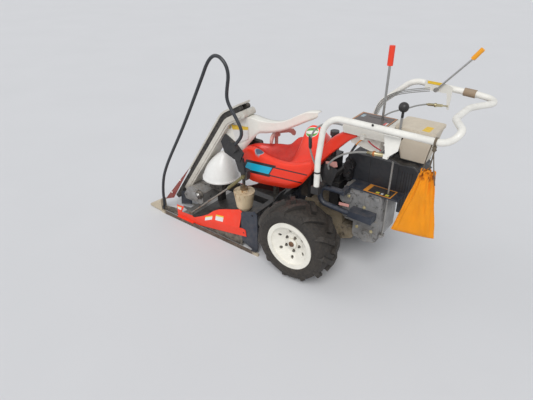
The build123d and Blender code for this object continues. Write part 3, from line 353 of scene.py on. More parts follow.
def paint_band(made, x, z, side):
    """Double black band along the hood's side and the blue block between its lines.

    Each line is a strip of heights about a straight line through two points of the side. Its bold front
    part and its thin rear part, and the block, end at planes that lean back with height.
    """
    def above(p, q):
        """Height above the line through two points of the side."""
        slope = (q[1] - p[1]) / (q[0] - p[0])
        line = made.maths("ADD", made.both(x, slope), p[1] - slope * p[0])
        return made.maths("SUBTRACT", z, line)

    upper, lower = above((0.351, 0.472), (0.008, 0.502)), above((0.395, 0.409), (0.051, 0.441))
    slant = made.maths("ADD", x, made.both(z, 0.55))
    thin_from, bold_from, front = 0.290, 0.460, 0.632
    lines = ((upper, (-0.0095, -0.0035), (-0.0095, 0.005)), (lower, (0.0015, 0.0075), (-0.005, 0.0095)))
    for line, thin, bold in lines:
        for strip, rear in ((thin, thin_from), (bold, bold_from)):
            made.paint(made.both(made.block(line, strip, slant, (rear, front)), side), BLACK, 0.4)
    gap = made.both(made.between(upper, -1.0, -0.0095), made.between(lower, 0.0095, 1.0), side)
    made.paint(made.both(gap, made.between(slant, 0.468, front)), BLACK, 0.4)
    made.paint(made.both(gap, made.between(slant, 0.474, 0.618)), (0.0, 0.44, 0.66), 0.4)


def paint_badges(made, x, y, z):
    """Two bare oval badges: dark blue with a pale rim in the dish, green and white on the riser."""
    up = made.ramp(made.facing("Z"), 0.05, 0.2)
    for half, colour in (((0.023, 0.020), (0.30, 0.33, 0.36)), ((0.019, 0.016), (0.05, 0.09, 0.15))):
        made.paint(made.both(made.oval(x, y, (0.303, 0.127), half, 0.1), up), colour, 0.35)
    riser = made.ramp(x, 0.132, 0.128)
    rim, field, blank = (made.oval(x, z, (0.080, 0.646), half, -0.25)
                         for half in ((0.036, 0.020), (0.033, 0.0175), (0.033, 0.007)))
    made.paint(made.both(rim, riser), (0.80, 0.80, 0.74), 0.4)
    made.paint(made.both(made.maths("SUBTRACT", field, blank, True), riser), (0.10, 0.35, 0.04), 0.4)


def hood_plastic():
    """Glossy red hood: its side's band and block, two bare badges, and a dish painted darker as painted
    shade, blotched darker still by grime and painted shade.
    """
    made = Finish("hood_plastic", (0.92, 0.034, 0.006), 0.38, coat=0.1).mottle(5, 0.88, 1.05, 0.6)
    x, y, z = made.axis("X"), made.axis("Y"), made.axis("Z")
    paint_band(made, x, z, made.ramp(y, 0.131, 0.133))
    paint_badges(made, x, y, z)
    # Painted shade: the up-facing dish is painted darker red, and darker still in noise blotches that are
    # partly grime and partly painted shade.
    grime = made.ramp(made.noise(30, 6, 0.7, seed=12), 0.25, 0.75)
    up = made.ramp(made.facing("Z"), 0.3, 0.8)
    dish = made.both(up, made.ramp(z, 0.60, 0.54), made.ramp(y, 0.106, 0.092))
    made.paint(made.both(dish, 0.75), (0.50, 0.012, 0.005), 0.5)
    made.paint(made.both(grime, dish, 0.6), (0.26, 0.010, 0.006), 0.6)
    made.dust(0.12, (0.40, 0.25, 0.20), low=0.1).chips(0.2, (0.9, 0.35, 0.25), 200)
    return made.grain(220, 0.25).grain(12, 0.6).done(0.18, 0.002)


def tin_paint():
    """Cream canister, rust-stained near its top, its neck and bent pipe in dark steel above."""
    made = Finish("cream_enamel", (0.66, 0.52, 0.33), 0.45, coat=0.1).mottle(14, 0.8, 1.1, 0.7)
    z = made.axis("Z")
    stain = made.ramp(made.noise(60, 6, 0.7, (1, 1, 0.25), 8), 0.52, 0.62)
    made.paint(made.both(stain, made.ramp(z, 0.25, 0.31)), (0.30, 0.13, 0.03), 0.7)
    made.dust(0.5, low=0.4)
    made.paint(made.ramp(z, 0.3095, 0.3105), (0.16, 0.10, 0.05), 0.5)
    made.paint(made.ramp(z, 0.335, 0.345), (0.05, 0.045, 0.045), 0.5)
    return made.grain(300, 0.3).grain(20, 0.4).done(0.25, 0.0012)


def cowl_shell():
    """Black engine shell: a field of upright louvres painted near black as painted shade in their slots, two
    panel joints as dark grooves, dust above.
    """
    made = Finish("cowl_shell", (0.020, 0.023, 0.030), 0.45, coat=0.1).mottle(7, 0.8, 1.15, 0.6, seed=4)
    x, z = made.axis("X"), made.axis("Z")
    field = made.block(x, (-0.412, -0.358), z, (0.40, 0.57))
    # Painted shade: the louvre slots are painted near black for the shade inside them. The panel joints are
    # dark grooves.
    louvres = made.both(made.ramp(made.wave(x, 0.011), 0.55, 0.8), field)
    joints = made.maths("ADD", made.between(x, -0.3435, -0.3415), made.between(x, -0.2165, -0.2145), True)
    joints = made.both(joints, made.between(z, 0.475, 0.585))
    grooves = made.maths("ADD", louvres, joints, True)
    made.paint(grooves, (0.004, 0.004, 0.005), 0.7)
    made.height = made.both(grooves, -1.5)
    return made.dust(0.18, low=0.2).grain(900, 0.25).grain(25, 0.2).done(0.3, 0.0015)


def guard_paint():
    """Red enamel sheet, painted near black as painted shade with grime on the faces that look towards the
    middle plane.
    """
    made = Finish("guard_enamel", (0.92, 0.038, 0.008), 0.42, coat=0.1).mottle(9, 0.86, 1.06, 0.6)
    made.dust(0.15, low=0.2).chips(0.4, RUST)
    # Painted shade with grime: the faces turned towards the middle plane are painted near black, where the
    # machine shades them.
    outward = made.both(made.maths("SIGN", made.axis("Y")), made.facing("Y"))
    made.paint(made.both(made.ramp(outward, -0.2, -0.5), 0.93), (0.035, 0.018, 0.014), 0.75)
    return made.grain(300, 0.3).grain(14, 0.4).done(0.25, 0.0015)


def skid_paint():
    """Skid rail: cream enamel left on the nose and the rear end, scraped to dark rusty steel between."""
    made = Finish("runner_enamel", (0.54, 0.46, 0.34), 0.6).mottle(9, 0.8, 1.1, 0.6)
    ragged = made.maths("ADD", made.axis("X"), made.both(made.noise(60, 5, 0.7, seed=4), 0.05))
    made.paint(made.between(ragged, 0.285, 0.955, 0.008), (0.075, 0.050, 0.036), 0.8)
    made.dust(0.45, low=0.3).chips(1.0, RUST)
    return made.grain(300, 0.5).grain(40, 0.6).done(0.4, 0.0015)


def deck_sticker():
    """Blank dark label on its own UV map: orange border and front block, small yellow and white blocks."""
    made = Finish("deck_label", (0.016, 0.016, 0.020), 0.4)
    u, v = made.own_map()
    inner = made.both(made.between(u, 0.07, 0.93, 0.010), made.between(v, 0.15, 0.96, 0.008))
    made.paint(made.outside(inner), (0.80, 0.30, 0.02), 0.4)
    yellow, white = (0.70, 0.60, 0.04), (0.70, 0.70, 0.66)
    for low, high, colour in ((0.42, 0.54, yellow), (0.60, 0.68, white), (0.76, 0.88, yellow)):
        mark = made.both(made.between(u, 0.14, 0.34, 0.010), made.between(v, low, high, 0.006))
        made.paint(mark, colour, 0.4)
    return made.mottle(60, 0.85, 1.05, 0.5).dust(0.25, scale=120).grain(400, 0.3).done(0.15, 0.0005)


def rod_sleeve():
    """Thin rusty steel rod, its upper end in an olive sleeve."""
    made = Finish("rod_sleeve", (0.32, 0.29, 0.25), 0.45, 0.6).mottle(30, 0.6, 1.15, 0.7)
    made.paint(made.ramp(made.noise(45, 7, 0.7, seed=8), 0.5, 0.66), RUST, 0.8)
    made.paint(made.ramp(made.axis("X"), 0.4445, 0.4435), (0.24, 0.21, 0.10), 0.6)
    return made.dust(0.25).grain(300, 0.4).done(0.3, 0.001)


def face_plate():
    """Dark glossy panel face with an orange border and plain blocks, all bare, and the levers' slot painted
    near black as painted shade in its opening.
    """
    made = Finish("face_plate", (0.030, 0.014, 0.012), 0.3, coat=0.4)
    x, y = made.axis("X"), made.axis("Y")
    edge = made.block(x, (-0.3055, -0.1585), y, (0.0065, 0.1215), 0.0004)
    inner = made.block(x, (-0.3025, -0.1615), y, (0.0095, 0.1185), 0.0004)
    made.paint(made.maths("SUBTRACT", edge, inner, True), (0.80, 0.26, 0.02), 0.4)
    # The last block is the levers' slot: painted shade, near black where the opening is.
    for reach, width, colour, rough in (((-0.184, -0.170), (0.030, 0.060), (0.30, 0.42, 0.48), 0.4),
                                        ((-0.298, -0.284), (0.070, 0.100), (0.75, 0.70, 0.66), 0.4),
                                        ((-0.292, -0.284), (0.070, 0.100), (0.65, 0.04, 0.03), 0.4),
                                        ((-0.280, -0.200), (0.036, 0.046), (0.004, 0.004, 0.004), 0.7)):
        made.paint(made.block(x, reach, y, width), colour, rough)
    return made.mottle(20, 0.8, 1.2, 0.5).dust(0.35, scale=90).grain(300, 0.2).done(0.15, 0.0008)


# Mesh tools

def add_piece(name, corners, faces, material, body=MACHINE, slot=None, stands_for=(), smooth=True):
    """Adds a mesh from machine millimetres, riding on a body."""
    mesh = bpy.data.meshes.new(name)
    mesh.from_pydata(place(corners).tolist(), [], [tuple(f) for f in np.asarray(faces).tolist()])
    mesh.validate()
    mesh.polygons.foreach_set("use_smooth", [smooth] * len(mesh.polygons))
    mesh.materials.append(material)
    mesh.update()
    made = bpy.data.objects.new(name, mesh)
    bpy.context.collection.objects.link(made)
    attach(made, body)
    if stands_for:
        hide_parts(*stands_for)
    return made


def grid_faces(rows, columns, wrap=False):
    """Quads of a grid of rows by columns, its columns joined round when wrap is set."""
    row, column = np.meshgrid(np.arange(rows - 1), np.arange(columns if wrap else columns - 1), indexing="ij")
    after = (column + 1) % columns
    here, beyond = row * columns, (row + 1) * columns
    return np.stack((here + column, here + after, beyond + after, beyond + column), -1).reshape(-1, 4)


def add_surface(name, points, material, wrap=False, **more):
    """Adds the surface through a grid of points, as rows by columns by X, Y and Z."""
    return add_piece(name, points.reshape(-1, 3), grid_faces(*points.shape[:2], wrap), material, **more)


def face_out(made):
    """Merges a mesh's doubles and turns its faces outwards."""
    mesh = bmesh.new()
    mesh.from_mesh(made.data)
    bmesh.ops.remove_doubles(mesh, verts=mesh.verts, dist=1e-6)
    bmesh.ops.recalc_face_normals(mesh, faces=mesh.faces)
    mesh.to_mesh(made.data)
    mesh.free()
    made.data.update()


def thicken(made, wall, offset=-1.0):
    """Gives a sheet its wall, in millimetres."""
    solid = made.modifiers.new("wall", "SOLIDIFY")
    solid.thickness, solid.offset = wall / 1000, offset


def curve_through(table, count):
    """Catmull-Rom curve through the rows of a table, sampled at count places."""
    rows = np.asarray(table, float)
    padded = np.concatenate((2 * rows[:1] - rows[1:2], rows, 2 * rows[-1:] - rows[-2:-1]))
    at = np.linspace(0, len(rows) - 1, count)
    k = np.minimum(at.astype(int), len(rows) - 2)
    t = (at - k)[:, None]
    a, b, c, d = padded[k], padded[k + 1], padded[k + 2], padded[k + 3]
    square, cube = 2 * a - 5 * b + 4 * c - d, 3 * b - a - 3 * c + d
    return 0.5 * (2 * b + (c - a) * t + square * t ** 2 + cube * t ** 3)


def outlines(*corners):
    """Stations by corners by X, Y and Z, from each corner's X, Y and Z at all the stations."""
    return np.stack([np.stack(np.broadcast_arrays(*corner), 1) for corner in corners], 1)


def round_corners(lines, passes=2, closed=False):
    """Cuts each corner of every outline at a quarter of its sides, again and again, keeping open ends."""
    for _ in range(passes):
        after = np.roll(lines, -1, axis=1) if closed else lines[:, 1:]
        own = lines if closed else lines[:, :-1]
        cut = np.stack((0.75 * own + 0.25 * after, 0.25 * own + 0.75 * after), 2)
        cut = cut.reshape(len(lines), -1, 3)
        lines = cut if closed else np.concatenate((lines[:, :1], cut[:, 1:-1], lines[:, -1:]), 1)
    return lines


def middle(row):
    """A row of as many points, all at the middle of the given one, which closes an end."""
    return row.mean(1, keepdims=True) + 0 * row


def full_circle(count):
    """Angles once round, in radians."""
    return np.linspace(0, 2 * np.pi, count, endpoint=False)


def spokes(way, sides, hint):
    """Unit vectors round a direction, at right angles to it, the first of them square to the hint as well."""
    across = unit(np.cross(way, hint))
    turn = full_circle(sides)
    return np.outer(np.cos(turn), across) + np.outer(np.sin(turn), np.cross(way, across))


def turned(name, base, tip, profile, material, sides=40, **more):
    """Profile of (height, radius) pairs turned about the line from base towards tip.

    It starts and ends at radius 0, or ends where it began, so the surface is closed.
    """
    way = unit(np.subtract(tip, base))
    height, radius = np.array(profile, float).T[:, :, None, None]
    spoke = spokes(way, sides, (0, 0, 1) if abs(way[2]) < 0.9 else (1, 0, 0))
    return add_surface(name, base + height * way + radius * spoke, material, True, **more)


HEAD_PROFILE = (  # height and radius, as shares of the head's own
    (0, 0), (0, 1.35), (0.25, 1.35), (0.25, 1.0), (0.9, 1.0), (1.0, 0.85), (1.0, 0))


def bolts(name, places, material, radius, height, sides=6, **more):
    """Heads on washers: the head's profile turned about each (point, outward direction) pair."""
    rise, reach = np.array(HEAD_PROFILE, float).T[:, :, None, None]
    heads = []
    for point, way in places:
        way = unit(way)
        spoke = spokes(way, sides, (0.3, 0.2, 1.0))
        heads.append(point + rise * height * way + reach * radius * spoke)
    corners = np.reshape(heads, (-1, 3))
    one = grid_faces(len(HEAD_PROFILE), sides, True)
    faces = [one + k * len(HEAD_PROFILE) * sides for k in range(len(heads))]
    return add_piece(name, corners, np.concatenate(faces), material, smooth=False, **more)


def wire(name, route, radius, material):
    """Round wire on a smooth spline whose control points are the route."""
    data = bpy.data.curves.new(name, "CURVE")
    data.dimensions = "3D"
    data.bevel_depth, data.bevel_resolution, data.resolution_u = radius / 1000, 3, 8
    data.use_fill_caps = True
    spline = data.splines.new("NURBS")
    spline.points.add(len(route) - 1)
    for point, at in zip(spline.points, place(route)):
        point.co = (*at, 1)
    spline.order_u, spline.use_endpoint_u = 3, True
    data.materials.append(material)
    made = bpy.data.objects.new(name, data)
    bpy.context.collection.objects.link(made)
    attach(made, MACHINE)
    return made


PANEL_ROWS, PANEL_COLUMNS, PANEL_LIFT = 9, 13, 0.4


def add_panel(name, corners, material, wall=0.5, **more):
    """Sticker or flat plate with four corners, top left first and clockwise as seen from outside.

    A point is the bilinear mean of the corners by its two shares of the way across and down, which are
    its own UV map too. The panel stands off the corners along their plane's outward direction.
    """
    a, b, c, d = np.array(corners, float)
    s, t = np.meshgrid(np.linspace(0, 1, PANEL_COLUMNS), np.linspace(0, 1, PANEL_ROWS))
    s, t = s[..., None], t[..., None]
    out = unit(np.cross(d - a, b - a))
    points = (1 - t) * ((1 - s) * a + s * b) + t * ((1 - s) * d + s * c) + (PANEL_LIFT + wall) * out
    made = add_surface(name, points, material, smooth=False, **more)
    layer = made.data.uv_layers.new(name="own")
    corner = np.zeros(len(made.data.loops), int)
    made.data.loops.foreach_get("vertex_index", corner)
    flat = np.concatenate((s, t), -1).reshape(-1, 2)
    layer.data.foreach_set("uv", flat[corner].ravel())
    thicken(made, wall, 1.0)


# Finishes, and the nodes that wear them

white_paint = painted("white_enamel", (0.87, 0.85, 0.79), dirt=0.3, chip=0.35)
cover_paint = painted("cover_enamel", (0.87, 0.85, 0.78), dirt=0.2, chip=0.2, low=0.1)
case_paint = painted("case_enamel", (0.66, 0.63, 0.56), dirt=0.9, chip=0.6, low=0.9)
rim_paint = painted("rim_enamel", (0.86, 0.83, 0.74), dirt=0.3, chip=0.5, low=0.2)
black_paint = painted("black_enamel", BLACK, rough=0.5, dirt=0.18, chip=0.3)
rod_paint = painted("rod_enamel", (0.020, 0.024, 0.030), rough=0.38, dirt=0.12, chip=0.3, low=0.1)
slate_paint = painted("slate_enamel", (0.020, 0.028, 0.046), rough=0.5, dirt=0.2, chip=0.3)
dull_red = painted("dull_enamel", (0.20, 0.012, 0.007), rough=0.6, dirt=0.2, chip=1.2)
faded_red = painted("faded_enamel", (0.62, 0.30, 0.26), rough=0.6, dirt=0.35, chip=0.7)
# Near-black coat of the sheets that stand in for the shade in the bodywork's gaps: painted shade, with dust
# and chips on it.
shade_sheet_coat = painted("shade_sheet_coat", (0.050, 0.042, 0.034), rough=0.9, dirt=0.7, chip=0.3, coat=0.0)
lever_red = lever_finish("lever_red", (0.86, 0.045, 0.012), 1.000)
lever_yellow = lever_finish("lever_yellow", (0.92, 0.38, 0.010), 1.011, plate_y=-0.1985)
knob_plastic = lever_finish("knob_plastic", BLACK, 0.843, 0.763)
bin_plastic = moulded("bin_plastic", (0.66, 0.58, 0.46), 0.55, 0.3)
panel_plastic = moulded("panel_plastic", (0.76, 0.73, 0.66), 0.5, 0.4)
cap_plastic = moulded("dome_plastic", (0.80, 0.79, 0.76), 0.38, 0.2, 0.3)
black_plastic = moulded("black_plastic", BLACK, 0.42, 0.14, 0.2)
belt_rubber = moulded("belt_rubber", (0.015, 0.015, 0.015), 0.7, 0.6, 0.0)
grip_tape = moulded("grip_tape", (0.33, 0.24, 0.16), 0.75, 0.4, 0.0)
sheath = moulded("cable_sheath", (0.26, 0.26, 0.25), 0.5, 0.35, 0.0)
red_sheath = moulded("wire_red", (0.55, 0.03, 0.05), 0.45, 0.1)
orange_sheath = moulded("wire_orange", (0.80, 0.26, 0.02), 0.45, 0.1)
zinc = steel("yellow_zinc", (0.60, 0.53, 0.32), 0.36, 0.2, 0.2)
copper = steel("copper_nut", (0.62, 0.24, 0.09), 0.4, 0.3, 0.2)
worn_steel = steel("worn_steel", (0.42, 0.41, 0.39), 0.4, 0.3)
rusty_steel = steel("rusty_steel", (0.25, 0.15, 0.10), 0.6, 0.9, 0.5)
burnt_steel = steel("burnt_steel", (0.20, 0.13, 0.09), 0.55, 0.9, 0.4)
engine_alloy = cast("engine_alloy", (0.36, 0.36, 0.36))
drive_alloy = cast("drive_alloy", (0.45, 0.45, 0.45), 0.5)
gear_alloy = cast("gearcase_alloy", (0.24, 0.19, 0.12), 0.7, 0.3, 1.0)
cast_black = cast("cast_black", (0.03, 0.03, 0.03), 0.6, 0.3)
bag_cloth = woven("bag_cloth", (1.0, 0.34, 0.002), mouth=(0.672, 0.700))
cord_fibre = woven("cord_fibre", (0.15, 0.12, 0.085), 0.003)
yellow_label = label_finish("yellow_label", (0.86, 0.55, 0.03))
headed_label = label_finish("headed_label", (0.78, 0.77, 0.75), (0.85, 0.55, 0.03))
hood_finish = hood_plastic()

NODE_FINISHES = {
    white_paint: ("handle_loop", "handle_gusset"),
    cover_paint: ("knotter_bonnet",),
    case_paint: ("pickup_case",),
    rim_paint: ("rim_left", "rim_right"),
    tin_paint(): ("canister",),
    black_paint: ("body_frame", "main_frame", "handle_mount", "bin_tray", "rod_bracket", "mudguard",
                  "crop_table"),
    rod_paint: ("guard_rod",),
    slate_paint: ("deck_plate", "engine_cradle", "end_plate_left", "end_plate_right"),
    guard_paint(): ("side_guard_left", "side_guard_right"),
    dull_red: ("crop_deflector",),
    faded_red: ("discharge_rotor",),
    skid_paint(): ("runner_left", "runner_right"),
    bin_plastic: ("twine_bin", "twine_bin_lid"),
    panel_plastic: ("control_panel",),
    cap_plastic: ("dome_cover",),
    cowl_shell(): ("engine_cowl", "belt_cover", "recoil_starter"),
    face_plate(): ("panel_plate",),
    black_plastic: ("air_cleaner", "fuel_tank"),
    knob_plastic: ("knob_lever",),
    worn_steel: ("shift_rod", "cutter_bar"),
    rod_sleeve(): ("stay_rod",),
    rusty_steel: ("hub_left", "hub_right"),
    burnt_steel: ("muffler",),
    engine_alloy: ("engine_block",),
    drive_alloy: ("pickup_drive",),
    gear_alloy: ("transmission_case",),
    cast_black: ("packer_case", "rotor_bearing", "knotter"),
    belt_rubber: ("lug_belt",),
    sheath: ("clutch_cable", "throttle_cable"),
    grip_tape: ("grip",),
    tyre_rubber(): ("tyre_left", "tyre_right"),
    hood_finish: ("hood", "hood_neck"),
    bag_cloth: ("bag",),
    cord_fibre: ("bag_string",),
    lever_red: ("main_lever",),
    lever_yellow: ("speed_lever",),
}
for finish, nodes in NODE_FINISHES.items():
    for node in nodes:
        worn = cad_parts[node].data.materials
        worn.clear()
        worn.append(finish)


# Hood

COVER_WALL = 3.5
HOOD_SIDE_Y = 145.0
HOOD_END_STEP = 3  # how far the end walls stand in, and how far their lips drop
HOOD_STATIONS = (  # x, near foot, near rim, dish height, ridge y, ridge z, far y, far rim, far foot
    (418, 455, 494, 496, 90, 504, 78, 498, 470),
    (400, 405, 515, 508, 88, 520, 75, 512, 474),
    (356, 370, 538, 527, 80, 541, 62, 532, 480),
    (310, 366, 531, 513, 52, 540, 28, 530, 486),
    (268, 370, 518, 496, 14, 536, -8, 530, 490),
    (222, 376, 512, 492, -10, 538, -34, 530, 484),
    (190, 381, 510, 492, -44, 572, -84, 552, 480),
    (152, 387, 512, 502, -44, 582, -108, 558, 478),
    (128, 391, 516, 526, -6, 636, -124, 560, 476),
    (104, 398, 521, 550, 0, 664, -130, 560, 476),
    (80, 411, 528, 566, 0, 674, -134, 559, 476),
    (46, 440, 543, 588, 0, 670, -136, 559, 476),
    (18, 478, 556, 592, 18, 650, -120, 559, 490),
    (-6, 512, 567, 590, 40, 614, -100, 559, 508))


def end_wall(outline, foot, inward):
    """An end outline let down to its foot and stepped inwards, and the lip that leads to it."""
    wall = outline + (inward, 0, 0)
    wall[..., 2] = foot
    return wall, outline - (0, 0, HOOD_END_STEP)


def add_hood():
    """Red hood.

    Each station's outline runs up the near side, over the rim, down into the dish, up to the ridge and
    down the far side, with its corners cut round; the stations are joined by a smooth curve along X.
    The first and last outlines are let down to their feet as end walls.
    """
    x, foot, rim, dish, ridge_y, ridge_z, far_y, far_z, far_foot = curve_through(HOOD_STATIONS, 56).T
    near, dish_y = HOOD_SIDE_Y, HOOD_SIDE_Y - 58
    shape = round_corners(outlines(
        (x, near, foot), (x, near, 0.5 * (foot + rim)), (x, near, rim - 8), (x, near - 8, rim),
        (x, near - 30, rim + 2), (x, near - 42, rim - 5), (x, dish_y, dish),
        (x, 0.5 * (dish_y + ridge_y), 0.6 * dish + 0.4 * ridge_z), (x, ridge_y + 8, ridge_z - 4),
        (x, ridge_y - 10, ridge_z), (x, far_y + 10, far_z + 4), (x, far_y, far_z - 12), (x, far_y, far_foot)))
    front_wall, front_lip = end_wall(shape[:1], foot[0], -HOOD_END_STEP)
    rear_wall, rear_lip = end_wall(shape[-1:], foot[-1], HOOD_END_STEP)
    shape = np.concatenate((front_wall, front_lip, shape, rear_lip, rear_wall))
    made = add_surface("hood_shell", shape, hood_finish, slot="hood_red", stands_for=("hood",))
    face_out(made)
    thicken(made, COVER_WALL)


NECK_STATIONS = (  # lower x, lower z, upper x, upper z, near y, far y
    (2, 505, 10, 560, 143, 60), (-12, 522, -2, 580, 145, 70), (-32, 550, -18, 604, 145, 80),
    (-56, 585, -38, 632, 145, 88), (-82, 617, -60, 666, 145, 92), (-107, 643, -86, 698, 145, 92),
    (-128, 664, -114, 720, 145, 92), (-150, 688, -143, 737, 145, 92), (-178, 714, -172, 740, 144, 92),
    (-200, 730, -196, 741, 143, 94))


def add_neck():
    """Red arm from the hood's rear up to the panel: a rounded box section carried along a smooth curve."""
    low_x, low_z, high_x, high_z, near, far = curve_through(NECK_STATIONS, 40).T
    rise_x, rise_z = 0.15 * (high_x - low_x), 0.15 * (high_z - low_z)
    shape = round_corners(outlines(
        (low_x, far, low_z), (low_x, near - 6, low_z), (low_x + rise_x, near, low_z + rise_z),
        (high_x - rise_x, near, high_z - rise_z), (high_x, near - 8, high_z), (high_x, far, high_z)), 3, True)
    shape = np.concatenate((middle(shape[:1]), shape, middle(shape[-1:])))
    made = add_surface("hood_arm", shape, hood_finish, True, slot="hood_red", stands_for=("hood_neck",))
    face_out(made)


# Knotter bonnet

BONNET_STATIONS = (  # x, y, low z, high z, flange width
    (552, 85, 546, 550, 6), (511, 85, 514, 605, 42), (454, 85, 468, 652, 52), (429, 85, 494, 664, 56),
    (384, 85, 548, 667, 56), (341, 84, 596, 664, 50), (306, 64, 601, 657, 42), (272, 38, 606, 654, 38),
    (232, 12, 618, 664, 38), (194, -12, 636, 686, 38), (150, -38, 660, 708, 40), (112, -60, 680, 710, 40),
    (102, -67, 690, 706, 34))


def add_bonnet():
    """White bonnet and guide arm.

    An angle section, its near face up to a rounded edge and then its top flange, carried along a smooth
    curve through the stations and swept back to the right.
    """
    x, y, low, high, flange = curve_through(BONNET_STATIONS, 72).T
    shape = round_corners(outlines(
        (x, y, low), (x, y, 0.5 * (low + high)), (x, y, high - 5), (x, y, high), (x, y - 6, high + 1),
        (x, y - 0.5 * flange, high + 1), (x, y - flange, high)))
    made = add_surface("bonnet_arm", shape, cover_paint, slot="white_paint", stands_for=("knotter_bonnet",))
    face_out(made)
    thicken(made, COVER_WALL)


# Crop rod

ROD_Y, ROD_RADIUS = 227.0, 8.0
ROD_ROUTE = (  # x, z
    (953, 30), (951, 60), (946, 140), (928, 222), (899, 292), (846, 385), (700, 615), (560, 855),
    (522, 922), (494, 958), (466, 975), (436, 973), (410, 954), (395, 926), (392, 892), (402, 838),
    (405, 800), (394, 768), (366, 728), (340, 690), (328, 662), (330, 634), (348, 606), (382, 568))


def add_crop_rod():
    """Black crop rod, a circle carried along a smooth curve in the left side's plane, and its foot plate."""
    path = curve_through(ROD_ROUTE, 220)
    way = np.gradient(path, axis=0)
    way /= np.linalg.norm(way, axis=1, keepdims=True)
    turn = full_circle(20)[None, :, None]
    radius = np.full(len(path), ROD_RADIUS)
    radius[[0, -1]] = 0
    out = np.stack((-way[:, 1], 0 * way[:, 0], way[:, 0]), 1)
    centre = np.stack((path[:, 0], np.full(len(path), ROD_Y), path[:, 1]), 1)
    centre[0], centre[-1] = centre[1], centre[-2]
    ring = np.cos(turn) * out[:, None] + np.sin(turn) * np.array((0, 1.0, 0))
    made = add_surface("crop_rod", centre[:, None] + radius[:, None, None] * ring, rod_paint, True,
                       slot="black_paint", stands_for=("guard_rod",))
    face_out(made)
    add_panel("crop_rod_foot", ((953, 238, 42), (940, 238, 42), (940, 238, 24), (953, 238, 24)), rod_paint, 6,
              slot="black_paint")


# Dome cover

DOME_X, DOME_Y, DOME_FOOT = 612, 77, 276
DOME_LEAN, DOME_TALL = -27, 164
DOME_PROFILE = (  # height above the foot, radius
    (0, 96), (1, 102), (10, 103), (14, 100), (40, 93), (70, 82), (100, 66), (125, 48), (145, 30), (157, 15),
    (162, 0))


def add_dome():
    """White bell cover, open below: rings that shrink with height, their centres leaning back to the apex."""
    height, radius = curve_through(DOME_PROFILE, 44).T[:, :, None]
    radius = np.maximum(radius, 0)
    turn = full_circle(64)
    lean = DOME_LEAN * (height / DOME_TALL) ** 1.4
    x, y = DOME_X + lean + radius * np.cos(turn), DOME_Y + radius * np.sin(turn)
    points = np.stack(np.broadcast_arrays(x, y, DOME_FOOT + height), -1)
    made = add_surface("bell_cover", points, cap_plastic, True, slot="cap_plastic",
                       stands_for=("dome_cover",))
    face_out(made)


# Bag

BAG_TOP, BAG_FOOT, BAG_Y, BAG_WALL = 704, 430, 207, 1.2
BAG_ROWS = (  # z, x, half length, half width, pleat depth
    (704, -518, 19, 9, 0.12), (700, -518, 22, 13, 0.26), (691, -518, 21, 12, 0.34),
    (680, -517, 24, 12, 0.28), (660, -516, 29, 15, 0.15), (625, -515, 37, 18, 0.09),
    (580, -512, 47, 20, 0.06), (530, -509, 59, 21, 0.045), (480, -506, 71, 21, 0.035),
    (450, -504, 78, 18, 0.02), (438, -503, 82, 12, 0.01), (431, -503, 83, 5, 0.0))


def add_bag():
    """Cloth bag drawn in at its mouth.

    Round the bag the outline is a flattened oval that grows downwards from the mouth. Pleats are waves round
    the outline, deep at the mouth and dying out below. Slow waves that twist as they go down make the
    cloth's slack folds, and its foot hangs lower at one end.
    """
    z, x, length, width, depth = curve_through(BAG_ROWS, 110).T[:, :, None]
    turn = full_circle(200)
    drop = (BAG_TOP - z) / (BAG_TOP - BAG_FOOT)
    pleat = np.sin(11 * turn + 1.4 * np.sin(2 * turn) + 2.0 * drop)
    pleat += 0.55 * np.sin(27 * turn + 3 * drop) * np.exp(-7 * drop)
    pleat = np.tanh(1.6 * pleat)
    swell = 1 + 0.6 * depth * pleat
    oval = np.sign(np.cos(turn)) * np.abs(np.cos(turn)) ** 0.85
    slack = np.sin(np.pi * drop) ** 0.7
    fold = 3.6 * pleat * np.exp(-2.2 * drop) + 3.8 * slack * np.sin(5 * turn + 4 * drop)
    fold += 1.6 * slack * np.sin(9 * turn - 11 * drop + 2 * np.sin(3 * turn)) + np.sin(17 * turn + 6 * drop)
    fold *= 1 - drop ** 10
    hang = 5 * np.sin(4 * turn + 1) * np.exp(-14 * drop) - (4 + 12 * np.cos(turn)) * drop ** 6
    points = np.stack((x + length * oval * swell + 0.5 * fold * np.cos(turn),
                       BAG_Y + width * np.sin(turn) * swell + fold * np.sin(turn), z + hang), -1)
    foot = middle(points[-1:])
    points = np.concatenate((points, 0.5 * points[-1:] + 0.5 * foot, foot))
    made = add_surface("drawstring_bag", points, bag_cloth, True, slot="bag_cloth", stands_for=("bag",))
    face_out(made)
    thicken(made, BAG_WALL)


TAIL_ROUTE = ((-527, 226, 786), (-533, 229, 760), (-540, 232, 728), (-548, 235, 700), (-556, 236, 668))
KNOT_PROFILE = ((0, 0), (0, 4), (4, 8), (10, 6), (15, 8.5), (20, 4), (22, 0))


def add_bag_ties():
    """Second string of the bag, and the knot that binds it to the handle tube, with its loose tail."""
    wire("tie_second", ((-514, 216, 806), (-510, 218, 780), (-504, 218, 744), (-499, 214, 700)), 2.0,
         cord_fibre)
    turned("tie_knot", (-525, 220, 804), (-527, 220, 782), KNOT_PROFILE, cord_fibre, 14, slot="string")
    tail = wire("tie_tail", TAIL_ROUTE, 2.0, cord_fibre)
    start, end = place(TAIL_ROUTE[0]), place(TAIL_ROUTE[-1])


# Floor and world

FLOOR_HALF = 14.0  # metres
SKY_LIGHT, SKY_STRENGTH = (0.90, 0.93, 0.97, 1), 0.52
SKY_SEEN = (0.63, 0.64, 0.67, 1)


